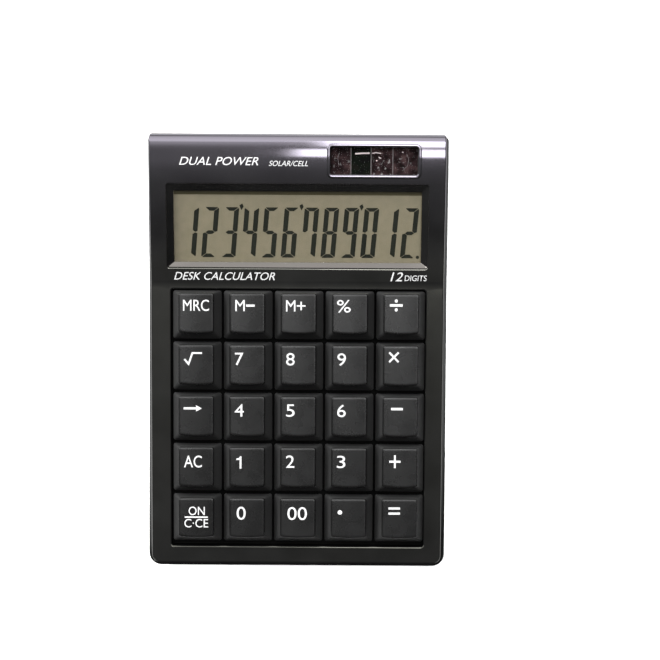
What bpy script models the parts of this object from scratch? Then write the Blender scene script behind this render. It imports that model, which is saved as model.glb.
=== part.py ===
"""Compact twelve-digit desk calculator with computer-style keys, modelled as an assembly.

Frame: metres, +Z up, +X to the right, +Y from the user towards the display end.
The origin is the bottom centre of the whole object. Every object in the scene is one real piece.
"""

import math

import bmesh
import bpy
from mathutils import Matrix, Vector

MM = 0.001
GAP = 0.3 * MM  # clearance between pieces that touch on the real object

# ---------------------------------------------------------------- case, outside
WIDTH = 107.0 * MM
LENGTH = 154.4 * MM
FRONT_Y = -LENGTH / 2
BACK_Y = LENGTH / 2
FOOT_PROUD = 1.0 * MM
FRONT_HEIGHT = 14.0 * MM
KEYBOARD_TILT = math.radians(5.6)
KINK_Y = FRONT_Y + 101.6 * MM  # where the keyboard plane meets the display slope
KINK_BLEND = 1.6 * MM
DISPLAY_START_TILT = math.radians(15.5)
DISPLAY_RADIUS = 600.0 * MM  # gentle crown of the display slope
CREST_Y = FRONT_Y + 136.5 * MM
CREST_RADIUS = 110.0 * MM  # the slope rolls over behind the display
BACK_ROUND_Y = FRONT_Y + 150.5 * MM
BACK_ROUND_RADIUS = 3.0 * MM
BACK_ROUND_END_TILT = math.radians(-80)
FRONT_CORNER_RADIUS = 4.5 * MM
BACK_CORNER_RADIUS = 1.8 * MM
SMALLEST_RADIUS = 0.4 * MM
FLATNESS = 0.0001 * MM

# ---------------------------------------------------------------- parting line of the two shells
PARTING_FRONT = 7.0 * MM
PARTING_TILT_KEYBOARD = math.radians(2.7)
PARTING_TILT_DISPLAY = math.radians(9.4)

# ---------------------------------------------------------------- shells
TOP_WALL = 2.0 * MM
SIDE_WALL = 2.1 * MM
FLOOR_TOP = 2.6 * MM
LIP_OUTSIDE = 1.2 * MM
LIP_HEIGHT = 1.1 * MM
REBATE_INSET = 0.9 * MM

# ---------------------------------------------------------------- keyboard, in the keyboard plane
GRID_Y = -22.5 * MM
KEY_PITCH = 18.0 * MM
KEY_BASE_HALF = 8.7 * MM
KEY_TOP_HALF_X = 6.75 * MM
KEY_TOP_FRONT = -6.2 * MM
KEY_TOP_BACK = 8.2 * MM
KEY_HEIGHT = 6.0 * MM
KEY_RIM = -1.2 * MM
KEY_WALL = 1.1 * MM
KEY_CEILING = 3.6 * MM
KEY_ROUND = 0.45 * MM
KEY_DISH = 0.9 * MM
KEY_FRONT_BOW = 0.45 * MM
STEM_HALF = 2.5 * MM
STEM_END = -5.5 * MM
WELL_HALF_X = 45.6 * MM
WELL_FRONT = -46.6 * MM
WELL_BACK = 45.2 * MM
WELL_RADIUS = 0.9 * MM
WELL_SKIRT = 1.5 * MM
WELL_SKIRT_END = -3.7 * MM
GUIDE_TOP = -4.0 * MM
GUIDE_BOTTOM = -5.2 * MM
GUIDE_HALF_X = 48.5 * MM
GUIDE_FRONT = -46.6 * MM
GUIDE_BACK = 45.9 * MM
GUIDE_HOLE_HALF = 2.9 * MM
BOARD_TOP = -8.7 * MM
BOARD_BOTTOM = -9.7 * MM
BOARD_HALF_X = 48.0 * MM
BOARD_FRONT = -46.2 * MM
BOARD_BACK = 45.2 * MM
DOME_TOP = STEM_END - GAP
DOME_SHEET_BOTTOM = BOARD_TOP + GAP
DOME_SHEET_TOP = DOME_SHEET_BOTTOM + 0.6 * MM
DOME_FOOT_RADIUS = 4.2 * MM
DOME_TOP_RADIUS = 2.2 * MM
DOME_SKIN = 0.5 * MM
DOME_MARGIN = 6.5 * MM

# ---------------------------------------------------------------- display, in its own tilted plane
DISPLAY_FRONT_Y = FRONT_Y + 107.0 * MM
DISPLAY_BACK_Y = FRONT_Y + 136.5 * MM
DISPLAY_HALF_X = 45.8 * MM
DISPLAY_VIEW_HALF_X = 43.5 * MM
DISPLAY_VIEW_FRONT_INSET = 2.6 * MM
DISPLAY_VIEW_BACK_INSET = 2.2 * MM
WINDOW_TOP = -TOP_WALL - GAP
WINDOW_BOTTOM = WINDOW_TOP - 1.0 * MM
FRONT_GLASS_TOP = WINDOW_BOTTOM - GAP
GLASS_THICKNESS = 0.6 * MM
REAR_GLASS_TOP = FRONT_GLASS_TOP - GLASS_THICKNESS - GAP
GLASS_HALF_X = 44.6 * MM
GLASS_HALF_Y = 13.6 * MM
LEDGE = 2.0 * MM
FRAME_BOTTOM = -6.0 * MM
FRAME_WALL = 1.4 * MM
FLEX_HALF_X = 30.0 * MM
FLEX_THICKNESS = 0.2 * MM

# ---------------------------------------------------------------- solar cell, in its own tilted plane
SOLAR_X = 26.65 * MM
SOLAR_FRONT_Y = FRONT_Y + 139.6 * MM
SOLAR_BACK_Y = FRONT_Y + 149.5 * MM
SOLAR_HALF_X = 15.25 * MM
SOLAR_CHAMFER = 1.0 * MM
SOLAR_CHAMFER_DEPTH = 0.7 * MM
SOLAR_RADIUS = 1.2 * MM

# ---------------------------------------------------------------- fasteners and feet
CASE_SCREWS = {
    "case_screw_front_left": (-44.0 * MM, GRID_Y - 49.0 * MM),
    "case_screw_front_right": (44.0 * MM, GRID_Y - 49.0 * MM),
    "case_screw_middle_left": (-48.0 * MM, GRID_Y + 48.8 * MM),
    "case_screw_middle_right": (48.0 * MM, GRID_Y + 48.8 * MM),
    "case_screw_back_left": (-46.5 * MM, GRID_Y + 92.0 * MM),
    "case_screw_back_right": (46.5 * MM, GRID_Y + 92.0 * MM),
}
UPPER_BOSS_RADIUS = 2.3 * MM
LOWER_BOSS_RADIUS = 2.9 * MM
PILOT_RADIUS = 1.35 * MM
SHANK_RADIUS = 1.0 * MM
HEAD_RADIUS = 1.75 * MM
HEAD_HEIGHT = 1.3 * MM
COUNTERBORE_RADIUS = 2.1 * MM
SHANK_ENGAGEMENT = 3.6 * MM
HEAD_SEAT_BELOW_SPLIT = 2.4 * MM
BOARD_SCREWS = {
    "board_screw_back_left": (-46.2 * MM, 36.0 * MM),
    "board_screw_back_right": (46.2 * MM, 36.0 * MM),
    "board_screw_front_left": (-46.2 * MM, -36.0 * MM),
}
POST_RADIUS = 1.6 * MM
FEET = {
    "foot_front_left": (-38.0 * MM, -64.0 * MM),
    "foot_front_right": (38.0 * MM, -64.0 * MM),
    "foot_back_left": (-42.5 * MM, 58.0 * MM),
    "foot_back_right": (42.5 * MM, 58.0 * MM),
}
FOOT_RADIUS = 4.5 * MM
FOOT_RECESS = 0.5 * MM

# ---------------------------------------------------------------- battery bay, in the floor at the back
BAY_X = -22.0 * MM
CELL_Y = 62.0 * MM
CELL_RADIUS = 5.8 * MM
CELL_BOTTOM = 3.2 * MM
CELL_HEIGHT = 3.1 * MM
DOOR_HALF_X = 11.0 * MM
DOOR_TONGUE = 1.0 * MM
DOOR_FRONT_Y = 52.0 * MM
DOOR_BACK_Y = 74.6 * MM
DOOR_STEP_Z = 2.05 * MM
DOOR_TOP_Z = 2.75 * MM
BLOCK_HALF_X = 15.5 * MM
BLOCK_FRONT_Y = 50.5 * MM
BLOCK_BACK_Y = 72.0 * MM
BLOCK_TOP = 8.2 * MM
POCKET_HALF = 7.0 * MM
CONTACT_HALF_WIDTH = 2.0 * MM
CONTACT_THICKNESS = 0.3 * MM

WIRE_RADIUS = 0.55 * MM

KEY_NAMES = [
    ["key_mrc", "key_m_minus", "key_m_plus", "key_percent", "key_divide"],
    ["key_sqrt", "key_7", "key_8", "key_9", "key_multiply"],
    ["key_backspace", "key_4", "key_5", "key_6", "key_minus"],
    ["key_ac", "key_1", "key_2", "key_3", "key_plus"],
    ["key_on_clear", "key_0", "key_00", "key_point", "key_equals"],
]

# colour, roughness, metallic
FINISHES = {
    "gloss_black": ((0.012, 0.012, 0.013, 1), 0.15, 0.0),
    "matte_black": ((0.018, 0.018, 0.018, 1), 0.55, 0.0),
    "key_black": ((0.03, 0.03, 0.031, 1), 0.45, 0.0),
    "clear": ((0.85, 0.88, 0.86, 1), 0.03, 0.0),
    "lcd_glass": ((0.30, 0.28, 0.18, 1), 0.2, 0.0),
    "solar": ((0.03, 0.015, 0.015, 1), 0.25, 0.0),
    "board": ((0.03, 0.18, 0.06, 1), 0.45, 0.0),
    "silicone": ((0.55, 0.56, 0.57, 1), 0.6, 0.0),
    "epoxy": ((0.01, 0.01, 0.01, 1), 0.35, 0.0),
    "can": ((0.02, 0.03, 0.09, 1), 0.4, 0.0),
    "steel": ((0.6, 0.6, 0.6, 1), 0.3, 1.0),
    "flex": ((0.25, 0.16, 0.06, 1), 0.4, 0.0),
    "rubber": ((0.05, 0.05, 0.05, 1), 0.8, 0.0),
    "red_wire": ((0.6, 0.02, 0.02, 1), 0.45, 0.0),
    "black_wire": ((0.015, 0.015, 0.015, 1), 0.45, 0.0),
}


# ================================================================ curves of the case
def arc_drop(run, tilt, radius):
    """Height gained along a crowned arc after a horizontal run, and the tilt there."""
    end_tilt = math.asin(math.sin(tilt) - run / radius)
    return radius * (math.cos(end_tilt) - math.cos(tilt)), end_tilt


def top_height(y):
    """Height of the case's top surface on its centre line."""
    rise = FRONT_HEIGHT + (min(y, KINK_Y) - FRONT_Y) * math.tan(KEYBOARD_TILT)
    if abs(y - KINK_Y) < KINK_BLEND:
        # parabola that joins the two slopes without a crease
        across = y - KINK_Y + KINK_BLEND
        bend = math.tan(DISPLAY_START_TILT) - math.tan(KEYBOARD_TILT)
        before = FRONT_HEIGHT + (KINK_Y - KINK_BLEND - FRONT_Y) * math.tan(KEYBOARD_TILT)
        return before + across * math.tan(KEYBOARD_TILT) + bend * across**2 / (4 * KINK_BLEND)
    if y <= KINK_Y:
        return rise
    gained, tilt = arc_drop(min(y, CREST_Y) - KINK_Y, DISPLAY_START_TILT, DISPLAY_RADIUS)
    rise += gained
    if y <= CREST_Y:
        return rise
    gained, tilt = arc_drop(min(y, BACK_ROUND_Y) - CREST_Y, tilt, CREST_RADIUS)
    rise += gained
    if y <= BACK_ROUND_Y:
        return rise
    end_run = BACK_ROUND_RADIUS * (math.sin(tilt) - math.sin(BACK_ROUND_END_TILT))
    gained, _ = arc_drop(min(y - BACK_ROUND_Y, end_run), tilt, BACK_ROUND_RADIUS)
    steep = max(0.0, y - BACK_ROUND_Y - end_run) * math.tan(BACK_ROUND_END_TILT)
    return rise + gained + steep


def parting_height(y):
    """Height of the line where the two shells meet."""
    front_part = (min(y, KINK_Y) - FRONT_Y) * math.tan(PARTING_TILT_KEYBOARD)
    back_part = max(0.0, y - KINK_Y) * math.tan(PARTING_TILT_DISPLAY)
    return PARTING_FRONT + front_part + back_part


def profile_stations():
    """Places along Y where the shells need a row of vertices to follow the curves."""
    blend = [KINK_Y + KINK_BLEND * k for k in (-1, -0.4, 0.4, 1)]
    slope = [KINK_Y + (CREST_Y - KINK_Y) * k / 5 for k in range(1, 5)]
    crest = [CREST_Y + (BACK_ROUND_Y - CREST_Y) * k / 5 for k in range(6)]
    rounding = [BACK_ROUND_Y + BACK_ROUND_RADIUS * k for k in (0.35, 0.65, 0.88)]
    return blend + slope + crest + rounding


def tilted_plane(x, y_front, y_back):
    """Frame on the top surface: origin midway, local Y up the slope, local Z square to it."""
    front = Vector((x, y_front, top_height(y_front)))
    back = Vector((x, y_back, top_height(y_back)))
    tilt = math.atan2(back.z - front.z, back.y - front.y)
    return Matrix.Translation((front + back) / 2) @ Matrix.Rotation(tilt, 4, "X")


KEYBOARD = Matrix.Translation((0, GRID_Y, top_height(GRID_Y))) @ Matrix.Rotation(KEYBOARD_TILT, 4, "X")
DISPLAY = tilted_plane(0, DISPLAY_FRONT_Y, DISPLAY_BACK_Y)
DISPLAY_HALF_Y = (DISPLAY_BACK_Y - DISPLAY_FRONT_Y) / 2 / math.cos(DISPLAY.to_euler().x)
SOLAR = tilted_plane(SOLAR_X, SOLAR_FRONT_Y, SOLAR_BACK_Y)
SOLAR_HALF_Y = (SOLAR_BACK_Y - SOLAR_FRONT_Y) / 2


# ================================================================ building blocks
def clear_scene():
    for item in list(bpy.data.objects):
        bpy.data.objects.remove(item, do_unlink=True)


def material(finish):
    """Principled material of a finish, made once for each piece."""
    colour, roughness, metallic = FINISHES[finish]
    made = bpy.data.materials.new(finish)
    made.use_nodes = True
    shader = made.node_tree.nodes["Principled BSDF"]
    shader.inputs["Base Color"].default_value = colour
    shader.inputs["Roughness"].default_value = roughness
    shader.inputs["Metallic"].default_value = metallic
    made.diffuse_color = colour
    return made


def new_object(name, bm, finish, frame=None):
    """Object from a bmesh whose points are in the given frame."""
    bmesh.ops.recalc_face_normals(bm, faces=bm.faces)
    if bm.calc_volume(signed=True) < 0:
        bmesh.ops.reverse_faces(bm, faces=bm.faces)
    mesh = bpy.data.meshes.new(name)
    bm.to_mesh(mesh)
    bm.free()
    item = bpy.data.objects.new(name, mesh)
    bpy.context.collection.objects.link(item)
    if frame is not None:
        item.matrix_world = frame
    item.data.materials.append(material(finish))
    return item


def cutter(name, bm, frame=None):
    """Helper solid for a Boolean, left out of the build."""
    item = new_object(name, bm, "matte_black", frame)
    item.hide_render = True
    item.display_type = "WIRE"
    return item


def boolean(target, tool, operation):
    step = target.modifiers.new(tool.name, "BOOLEAN")
    step.operation = operation
    step.solver = "EXACT"
    step.object = tool


def rounded_rectangle(x_low, x_high, y_low, y_high, radius_front, radius_back, corner=4, across=0):
    """Plan outline, anticlockwise, with extra points across the front and back edges."""
    points = []
    corners = [
        (x_high, y_low, radius_front, -90),
        (x_high, y_high, radius_back, 0),
        (x_low, y_high, radius_back, 90),
        (x_low, y_low, radius_front, 180),
    ]
    for index, (x, y, radius, start) in enumerate(corners):
        centre_x = x - radius if x == x_high else x + radius
        centre_y = y - radius if y == y_high else y + radius
        for k in range(corner + 1):
            angle = math.radians(start + 90 * k / corner)
            points.append((centre_x + radius * math.cos(angle), centre_y + radius * math.sin(angle)))
        if across and index in (1, 3):
            radius_next = corners[(index + 1) % 4][2]
            reach = (x_low + radius_next, x_high - radius_next)
            reach = reach if index == 3 else (reach[1], reach[0])
            for k in range(1, across + 1):
                points.append((reach[0] + (reach[1] - reach[0]) * k / (across + 1), y))
    return points


def loft(bm, loops, ring=False):
    """Skin over loops of equal length, capped unless it is a ring. Gives its caps."""
    rows = [[bm.verts.new(point) for point in loop] for loop in loops]
    pairs = list(zip(rows, rows[1:]))
    if ring:
        pairs.append((rows[-1], rows[0]))
    for lower, upper in pairs:
        for k in range(len(lower)):
            j = (k + 1) % len(lower)
            bm.faces.new((lower[k], lower[j], upper[j], upper[k]))
    if ring:
        return []
    return [bm.faces.new(reversed(rows[0])), bm.faces.new(rows[-1])]


def with_height(outline, z):
    return [(x, y, z) for x, y in outline]


def prism(outline, z_low, z_high):
    """Closed solid over a plan outline."""
    bm = bmesh.new()
    loft(bm, [with_height(outline, z_low), with_height(outline, z_high)])
    return bm


def slab(half_x, y_low, y_high, z_low, z_high, radius=SMALLEST_RADIUS, corner=1, x_centre=0.0):
    """Flat plate with small corner radii."""
    outline = rounded_rectangle(
        x_centre - half_x, x_centre + half_x, y_low, y_high, radius, radius, corner
    )
    return prism(outline, z_low, z_high)


def circle(radius, sides, centre=(0.0, 0.0)):
    turn = 2 * math.pi / sides
    return [
        (centre[0] + radius * math.cos(turn * k), centre[1] + radius * math.sin(turn * k))
        for k in range(sides)
    ]


def turned(profile, sides, centre=(0.0, 0.0)):
    """Closed turned solid from (radius, height) pairs, bottom to top."""
    bm = bmesh.new()
    loft(bm, [with_height(circle(radius, sides, centre), z) for radius, z in profile])
    return bm


def bisect_along(bm, axis, places, faces=None):
    """Rows of vertices where planes square to an axis meet the mesh or some of its faces."""
    normal = Vector((1, 0, 0)) if axis == 0 else Vector((0, 1, 0))
    inside = set(faces) if faces else None
    for place in places:
        chosen = list(inside) if inside else list(bm.faces)
        edges = {edge for face in chosen for edge in face.edges}
        verts = {vert for face in chosen for vert in face.verts}
        cut = bmesh.ops.bisect_plane(
            bm, geom=chosen + list(edges) + list(verts), dist=1e-7, plane_co=normal * place, plane_no=normal
        )
        if inside is not None:
            inside = {item for item in cut["geom"] if isinstance(item, bmesh.types.BMFace)}


def split_warped_faces(bm):
    """Triangles in place of faces that aren't flat, which a Boolean needs."""
    warped = []
    for face in bm.faces:
        face.normal_update()
        centre = face.calc_center_median()
        if max(abs((vert.co - centre).dot(face.normal)) for vert in face.verts) > FLATNESS:
            warped.append(face)
    bmesh.ops.triangulate(bm, faces=warped)


def polyline_strip(points, half_width, thickness, x_is_width):
    """Sheet-metal or film strip: a polyline in the vertical plane with a thickness and a width."""
    bm = bmesh.new()
    points = [Vector(point) for point in points]
    sides = []
    for k, point in enumerate(points):
        before = points[max(k - 1, 0)]
        after = points[min(k + 1, len(points) - 1)]
        along = (after - before).normalized()
        normal = Vector((-along.y, along.x)) * thickness / 2
        sides.append((point + normal, point - normal))
    loops = []
    for upper, lower in sides:
        corners = ((-half_width, lower), (half_width, lower), (half_width, upper), (-half_width, upper))
        if x_is_width:
            loops.append([(across, p.x, p.y) for across, p in corners])
        else:
            loops.append([(p.x, across, p.y) for across, p in corners])
    loft(bm, loops)
    return bm


# ================================================================ shells
def shell_outline(side, front, back):
    """Plan outline of the case, drawn in from its widest contour."""
    return rounded_rectangle(
        -WIDTH / 2 + side,
        WIDTH / 2 - side,
        FRONT_Y + front,
        BACK_Y - back,
        max(FRONT_CORNER_RADIUS - front, SMALLEST_RADIUS),
        max(BACK_CORNER_RADIUS - back, SMALLEST_RADIUS),
    )


def shell_from_levels(levels):
    """Shell from levels of (side inset, front inset, back inset, height rule of y).

    The skin is lofted flat first, with one level above the other, so that planes can cut rows
    of vertices across it. Only then does each vertex get its real height.
    """
    bm = bmesh.new()
    loft(bm, [with_height(shell_outline(*level[:3]), float(n)) for n, level in enumerate(levels)])
    bisect_along(bm, 1, profile_stations())
    for vert in bm.verts:
        lower = min(int(vert.co.z + FLATNESS), len(levels) - 2)
        share = vert.co.z - lower
        heights = [levels[n][3](vert.co.y) for n in (lower, lower + 1)]
        vert.co.z = heights[0] * (1 - share) + heights[1] * share
    split_warped_faces(bm)
    return bm


def upper_shell():
    rim = GAP / 2
    levels = [
        (1.8 * SIDE_WALL, 1.8 * SIDE_WALL, 1.3 * SIDE_WALL, lambda y: top_height(y) - TOP_WALL),
        (SIDE_WALL, SIDE_WALL, SIDE_WALL, lambda y: parting_height(y) + LIP_HEIGHT + GAP),
        (REBATE_INSET, REBATE_INSET, REBATE_INSET, lambda y: parting_height(y) + LIP_HEIGHT + GAP),
        (REBATE_INSET, REBATE_INSET, REBATE_INSET, lambda y: parting_height(y) + rim),
        (0.0, 0.0, 0.0, lambda y: parting_height(y) + rim),
        (1.5 * MM, 1.5 * MM, 0.5 * MM, lambda y: top_height(y) - 0.9 * MM),
        (1.75 * MM, 1.75 * MM, 0.6 * MM, lambda y: top_height(y) - 0.35 * MM),
        (2.3 * MM, 2.3 * MM, 0.75 * MM, top_height),
    ]
    return shell_from_levels(levels)


def lower_shell():
    rim = GAP / 2
    levels = [
        (3.0 * MM, 3.0 * MM, 3.0 * MM, lambda y: FOOT_PROUD),
        (2.2 * MM, 2.2 * MM, 2.2 * MM, lambda y: FOOT_PROUD + 0.8 * MM),
        (0.0, 0.0, 0.0, lambda y: parting_height(y) - rim),
        (LIP_OUTSIDE, LIP_OUTSIDE, LIP_OUTSIDE, lambda y: parting_height(y) - rim),
        (LIP_OUTSIDE, LIP_OUTSIDE, LIP_OUTSIDE, lambda y: parting_height(y) + LIP_HEIGHT),
        (SIDE_WALL, SIDE_WALL, SIDE_WALL, lambda y: parting_height(y) + LIP_HEIGHT),
        (4.2 * MM, 4.2 * MM, 4.2 * MM, lambda y: FLOOR_TOP),
    ]
    return shell_from_levels(levels)


def frustum(bottom, middle, top):
    """Opening with a bevelled mouth: (outline, height) at three levels, then straight down."""
    bm = bmesh.new()
    loft(bm, [with_height(outline, z) for outline, z in (bottom, middle, top)])
    return bm


def display_opening():
    view_front = -DISPLAY_HALF_Y + DISPLAY_VIEW_FRONT_INSET
    view_back = DISPLAY_HALF_Y - DISPLAY_VIEW_BACK_INSET
    view = rounded_rectangle(
        -DISPLAY_VIEW_HALF_X, DISPLAY_VIEW_HALF_X, view_front, view_back, 0.5 * MM, 0.5 * MM
    )
    above = 1.0 * MM
    grow = above / TOP_WALL
    side_run = (DISPLAY_HALF_X - DISPLAY_VIEW_HALF_X) * (1 + grow)
    mouth = rounded_rectangle(
        -DISPLAY_VIEW_HALF_X - side_run,
        DISPLAY_VIEW_HALF_X + side_run,
        view_front - DISPLAY_VIEW_FRONT_INSET * (1 + grow),
        view_back + DISPLAY_VIEW_BACK_INSET * (1 + grow),
        1.2 * MM,
        1.2 * MM,
    )
    return frustum((view, -2 * TOP_WALL), (view, 0.1 * MM - TOP_WALL), (mouth, above))


def solar_opening():
    inner = rounded_rectangle(
        -SOLAR_HALF_X, SOLAR_HALF_X, -SOLAR_HALF_Y, SOLAR_HALF_Y, SOLAR_RADIUS, SOLAR_RADIUS
    )
    above = 1.0 * MM
    grow = SOLAR_CHAMFER * (1 + above / SOLAR_CHAMFER_DEPTH)
    mouth = rounded_rectangle(
        -SOLAR_HALF_X - grow,
        SOLAR_HALF_X + grow,
        -SOLAR_HALF_Y - grow,
        SOLAR_HALF_Y + grow,
        SOLAR_RADIUS + grow,
        SOLAR_RADIUS + grow,
    )
    return frustum((inner, -2 * TOP_WALL), (inner, -SOLAR_CHAMFER_DEPTH), (mouth, above))


def well_outline(grow=0.0):
    return rounded_rectangle(
        -WELL_HALF_X - grow,
        WELL_HALF_X + grow,
        WELL_FRONT - grow,
        WELL_BACK + grow,
        WELL_RADIUS,
        WELL_RADIUS,
    )


def make_upper_housing():
    housing = new_object("upper_housing", upper_shell(), "gloss_black")
    skirt = cutter("well_skirt", prism(well_outline(WELL_SKIRT), WELL_SKIRT_END, -TOP_WALL / 2), KEYBOARD)
    boolean(housing, skirt, "UNION")
    for name, (x, y) in CASE_SCREWS.items():
        boss = prism(
            circle(UPPER_BOSS_RADIUS, 10, (x, y)), parting_height(y) + GAP / 2, top_height(y) - TOP_WALL / 2
        )
        boolean(housing, cutter(name + "_upper_boss", boss), "UNION")
    well = cutter("well_cut", prism(well_outline(), -6 * MM, 3 * MM), KEYBOARD)
    boolean(housing, well, "DIFFERENCE")
    boolean(housing, cutter("display_cut", display_opening(), DISPLAY), "DIFFERENCE")
    boolean(housing, cutter("solar_cut", solar_opening(), SOLAR), "DIFFERENCE")
    for name, (x, y) in CASE_SCREWS.items():
        depth = SHANK_ENGAGEMENT + 0.5 * MM
        split = parting_height(y)
        hole = prism(circle(PILOT_RADIUS, 8, (x, y)), split - 1 * MM, split + depth)
        boolean(housing, cutter(name + "_pilot", hole), "DIFFERENCE")


def door_profile(grow, z_low, z_step, z_high):
    """T-shaped cross-section of the battery door, or of its slot when grown."""
    narrow = DOOR_HALF_X + grow
    wide = DOOR_HALF_X + DOOR_TONGUE + grow
    half = [(narrow, z_low), (narrow, z_step), (wide, z_step), (wide, z_high)]
    return half + [(-x, z) for x, z in reversed(half)]


def along_y(profile, y_low, y_high):
    """Closed solid from an (x, z) profile drawn along Y in the battery bay."""
    bm = bmesh.new()
    loft(bm, [[(BAY_X + x, y, z) for x, z in profile] for y in (y_low, y_high)])
    return bm


def make_lower_housing():
    housing = new_object("lower_housing", lower_shell(), "matte_black")
    for name, (x, y) in CASE_SCREWS.items():
        split = parting_height(y)
        boss = prism(circle(LOWER_BOSS_RADIUS, 10, (x, y)), FOOT_PROUD + 1 * MM, split - GAP / 2)
        boolean(housing, cutter(name + "_lower_boss", boss), "UNION")
    block_bottom = FLOOR_TOP - 0.5 * MM
    block = slab(BLOCK_HALF_X, BLOCK_FRONT_Y, BLOCK_BACK_Y, block_bottom, BLOCK_TOP, x_centre=BAY_X)
    boolean(housing, cutter("battery_block", block), "UNION")
    slot_profile = door_profile(GAP, 0.0, DOOR_STEP_Z - GAP, DOOR_TOP_Z + GAP)
    slot = along_y(slot_profile, DOOR_FRONT_Y - GAP, BACK_Y + 5 * MM)
    boolean(housing, cutter("door_slot", slot), "DIFFERENCE")
    pocket_top = BLOCK_TOP + 1 * MM
    pocket = slab(
        POCKET_HALF, CELL_Y - POCKET_HALF, CELL_Y + POCKET_HALF, FOOT_PROUD, pocket_top, x_centre=BAY_X
    )
    boolean(housing, cutter("cell_pocket", pocket), "DIFFERENCE")
    for name, (x, y) in CASE_SCREWS.items():
        seat = parting_height(y) - HEAD_SEAT_BELOW_SPLIT
        steps = [
            (COUNTERBORE_RADIUS, 0.0),
            (COUNTERBORE_RADIUS, seat),
            (PILOT_RADIUS, seat),
            (PILOT_RADIUS, seat + 9 * MM),
        ]
        hole = turned(steps, 10, (x, y))
        boolean(housing, cutter(name + "_bore", hole), "DIFFERENCE")
    for name, (x, y) in FEET.items():
        recess = prism(circle(FOOT_RADIUS + GAP, 16, (x, y)), 0.0, FOOT_PROUD + FOOT_RECESS)
        boolean(housing, cutter(name + "_recess", recess), "DIFFERENCE")


# ================================================================ display and solar cell
def make_display():
    half_y = GLASS_HALF_Y
    window = slab(GLASS_HALF_X + 0.6 * MM, -half_y - 1 * MM, half_y + 1 * MM, WINDOW_BOTTOM, WINDOW_TOP)
    new_object("display_window", window, "clear", DISPLAY)
    front = slab(GLASS_HALF_X, -half_y - LEDGE, half_y, FRONT_GLASS_TOP - GLASS_THICKNESS, FRONT_GLASS_TOP)
    new_object("lcd_front_glass", front, "lcd_glass", DISPLAY)
    rear = slab(GLASS_HALF_X, -half_y, half_y, REAR_GLASS_TOP - GLASS_THICKNESS, REAR_GLASS_TOP)
    new_object("lcd_rear_glass", rear, "lcd_glass", DISPLAY)

    inner_half_x = GLASS_HALF_X + GAP
    inner_front, inner_back = -half_y - LEDGE - GAP, half_y + GAP
    inner = rounded_rectangle(
        -inner_half_x, inner_half_x, inner_front, inner_back, SMALLEST_RADIUS, SMALLEST_RADIUS, 1
    )
    outer_half_x = inner_half_x + FRAME_WALL
    outer = rounded_rectangle(
        -outer_half_x, outer_half_x, inner_front - FRAME_WALL, inner_back + FRAME_WALL, 1 * MM, 1 * MM, 1
    )
    frame_top = WINDOW_BOTTOM - GAP
    bm = bmesh.new()
    loops = [
        with_height(outer, FRAME_BOTTOM),
        with_height(outer, frame_top),
        with_height(inner, frame_top),
        with_height(inner, FRAME_BOTTOM),
    ]
    loft(bm, loops, ring=True)
    new_object("lcd_frame", bm, "matte_black", DISPLAY)


def in_side_view(frame, y, z):
    """World (y, z) of a point given in a tilted frame."""
    point = frame @ Vector((0, y, z))
    return Vector((point.y, point.z))


def make_flex_strip():
    """Film that carries the display's lines from the front glass's ledge to the board."""
    under_glass = FRONT_GLASS_TOP - GLASS_THICKNESS - GAP
    ledge_y = -GLASS_HALF_Y - LEDGE + 0.6 * MM
    on_board = BOARD_TOP + GAP + FLEX_THICKNESS / 2
    start = in_side_view(DISPLAY, -GLASS_HALF_Y - GAP - 0.2 * MM, under_glass)
    ledge = in_side_view(DISPLAY, ledge_y, under_glass)
    drop = in_side_view(DISPLAY, ledge_y, FRAME_BOTTOM - 0.6 * MM)
    landing = in_side_view(KEYBOARD, BOARD_BACK - 1 * MM, on_board)
    end = in_side_view(KEYBOARD, BOARD_BACK - 2.6 * MM, on_board)
    leave = drop + (drop - ledge).normalized() * 2 * MM
    arrive = landing + (landing - end).normalized() * 4 * MM
    points = [start, ledge]
    steps = 8
    for k in range(steps + 1):
        t = k / steps
        near = (1 - t) ** 3 * drop + 3 * (1 - t) ** 2 * t * leave
        far = 3 * (1 - t) * t**2 * arrive + t**3 * landing
        points.append(near + far)
    points.append(end)
    new_object("lcd_flex_strip", polyline_strip(points, FLEX_HALF_X, FLEX_THICKNESS, True), "flex")


def make_solar():
    window_top = -TOP_WALL - GAP
    window_bottom = window_top - 0.8 * MM
    front, back = -SOLAR_HALF_Y - 1.2 * MM, SOLAR_HALF_Y + 0.8 * MM
    window = slab(SOLAR_HALF_X + 1.8 * MM, front, back, window_bottom, window_top)
    new_object("solar_window", window, "clear", SOLAR)
    cell_top = window_bottom - GAP
    cell_bottom = cell_top - 1.1 * MM
    cell = slab(SOLAR_HALF_X + 1.4 * MM, front + 0.4 * MM, back - 0.4 * MM, cell_bottom, cell_top)
    new_object("solar_cell", cell, "solar", SOLAR)


# ================================================================ keys
def key_loop(half_x, y_front, y_back, z, radius, bow=0.0, dish=0.0):
    """One loop of a keycap. The dish lowers the middle, the bow pushes the front edge out."""
    outline = rounded_rectangle(-half_x, half_x, y_front, y_back, radius, radius, 2, 3)
    loop = []
    for x, y in outline:
        middle = max(0.0, 1 - (x / half_x) ** 2)
        towards_front = max(0.0, (y_back - y) / (y_back - y_front))
        loop.append((x, y - bow * middle * towards_front**4, z - dish * middle))
    return loop


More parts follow.
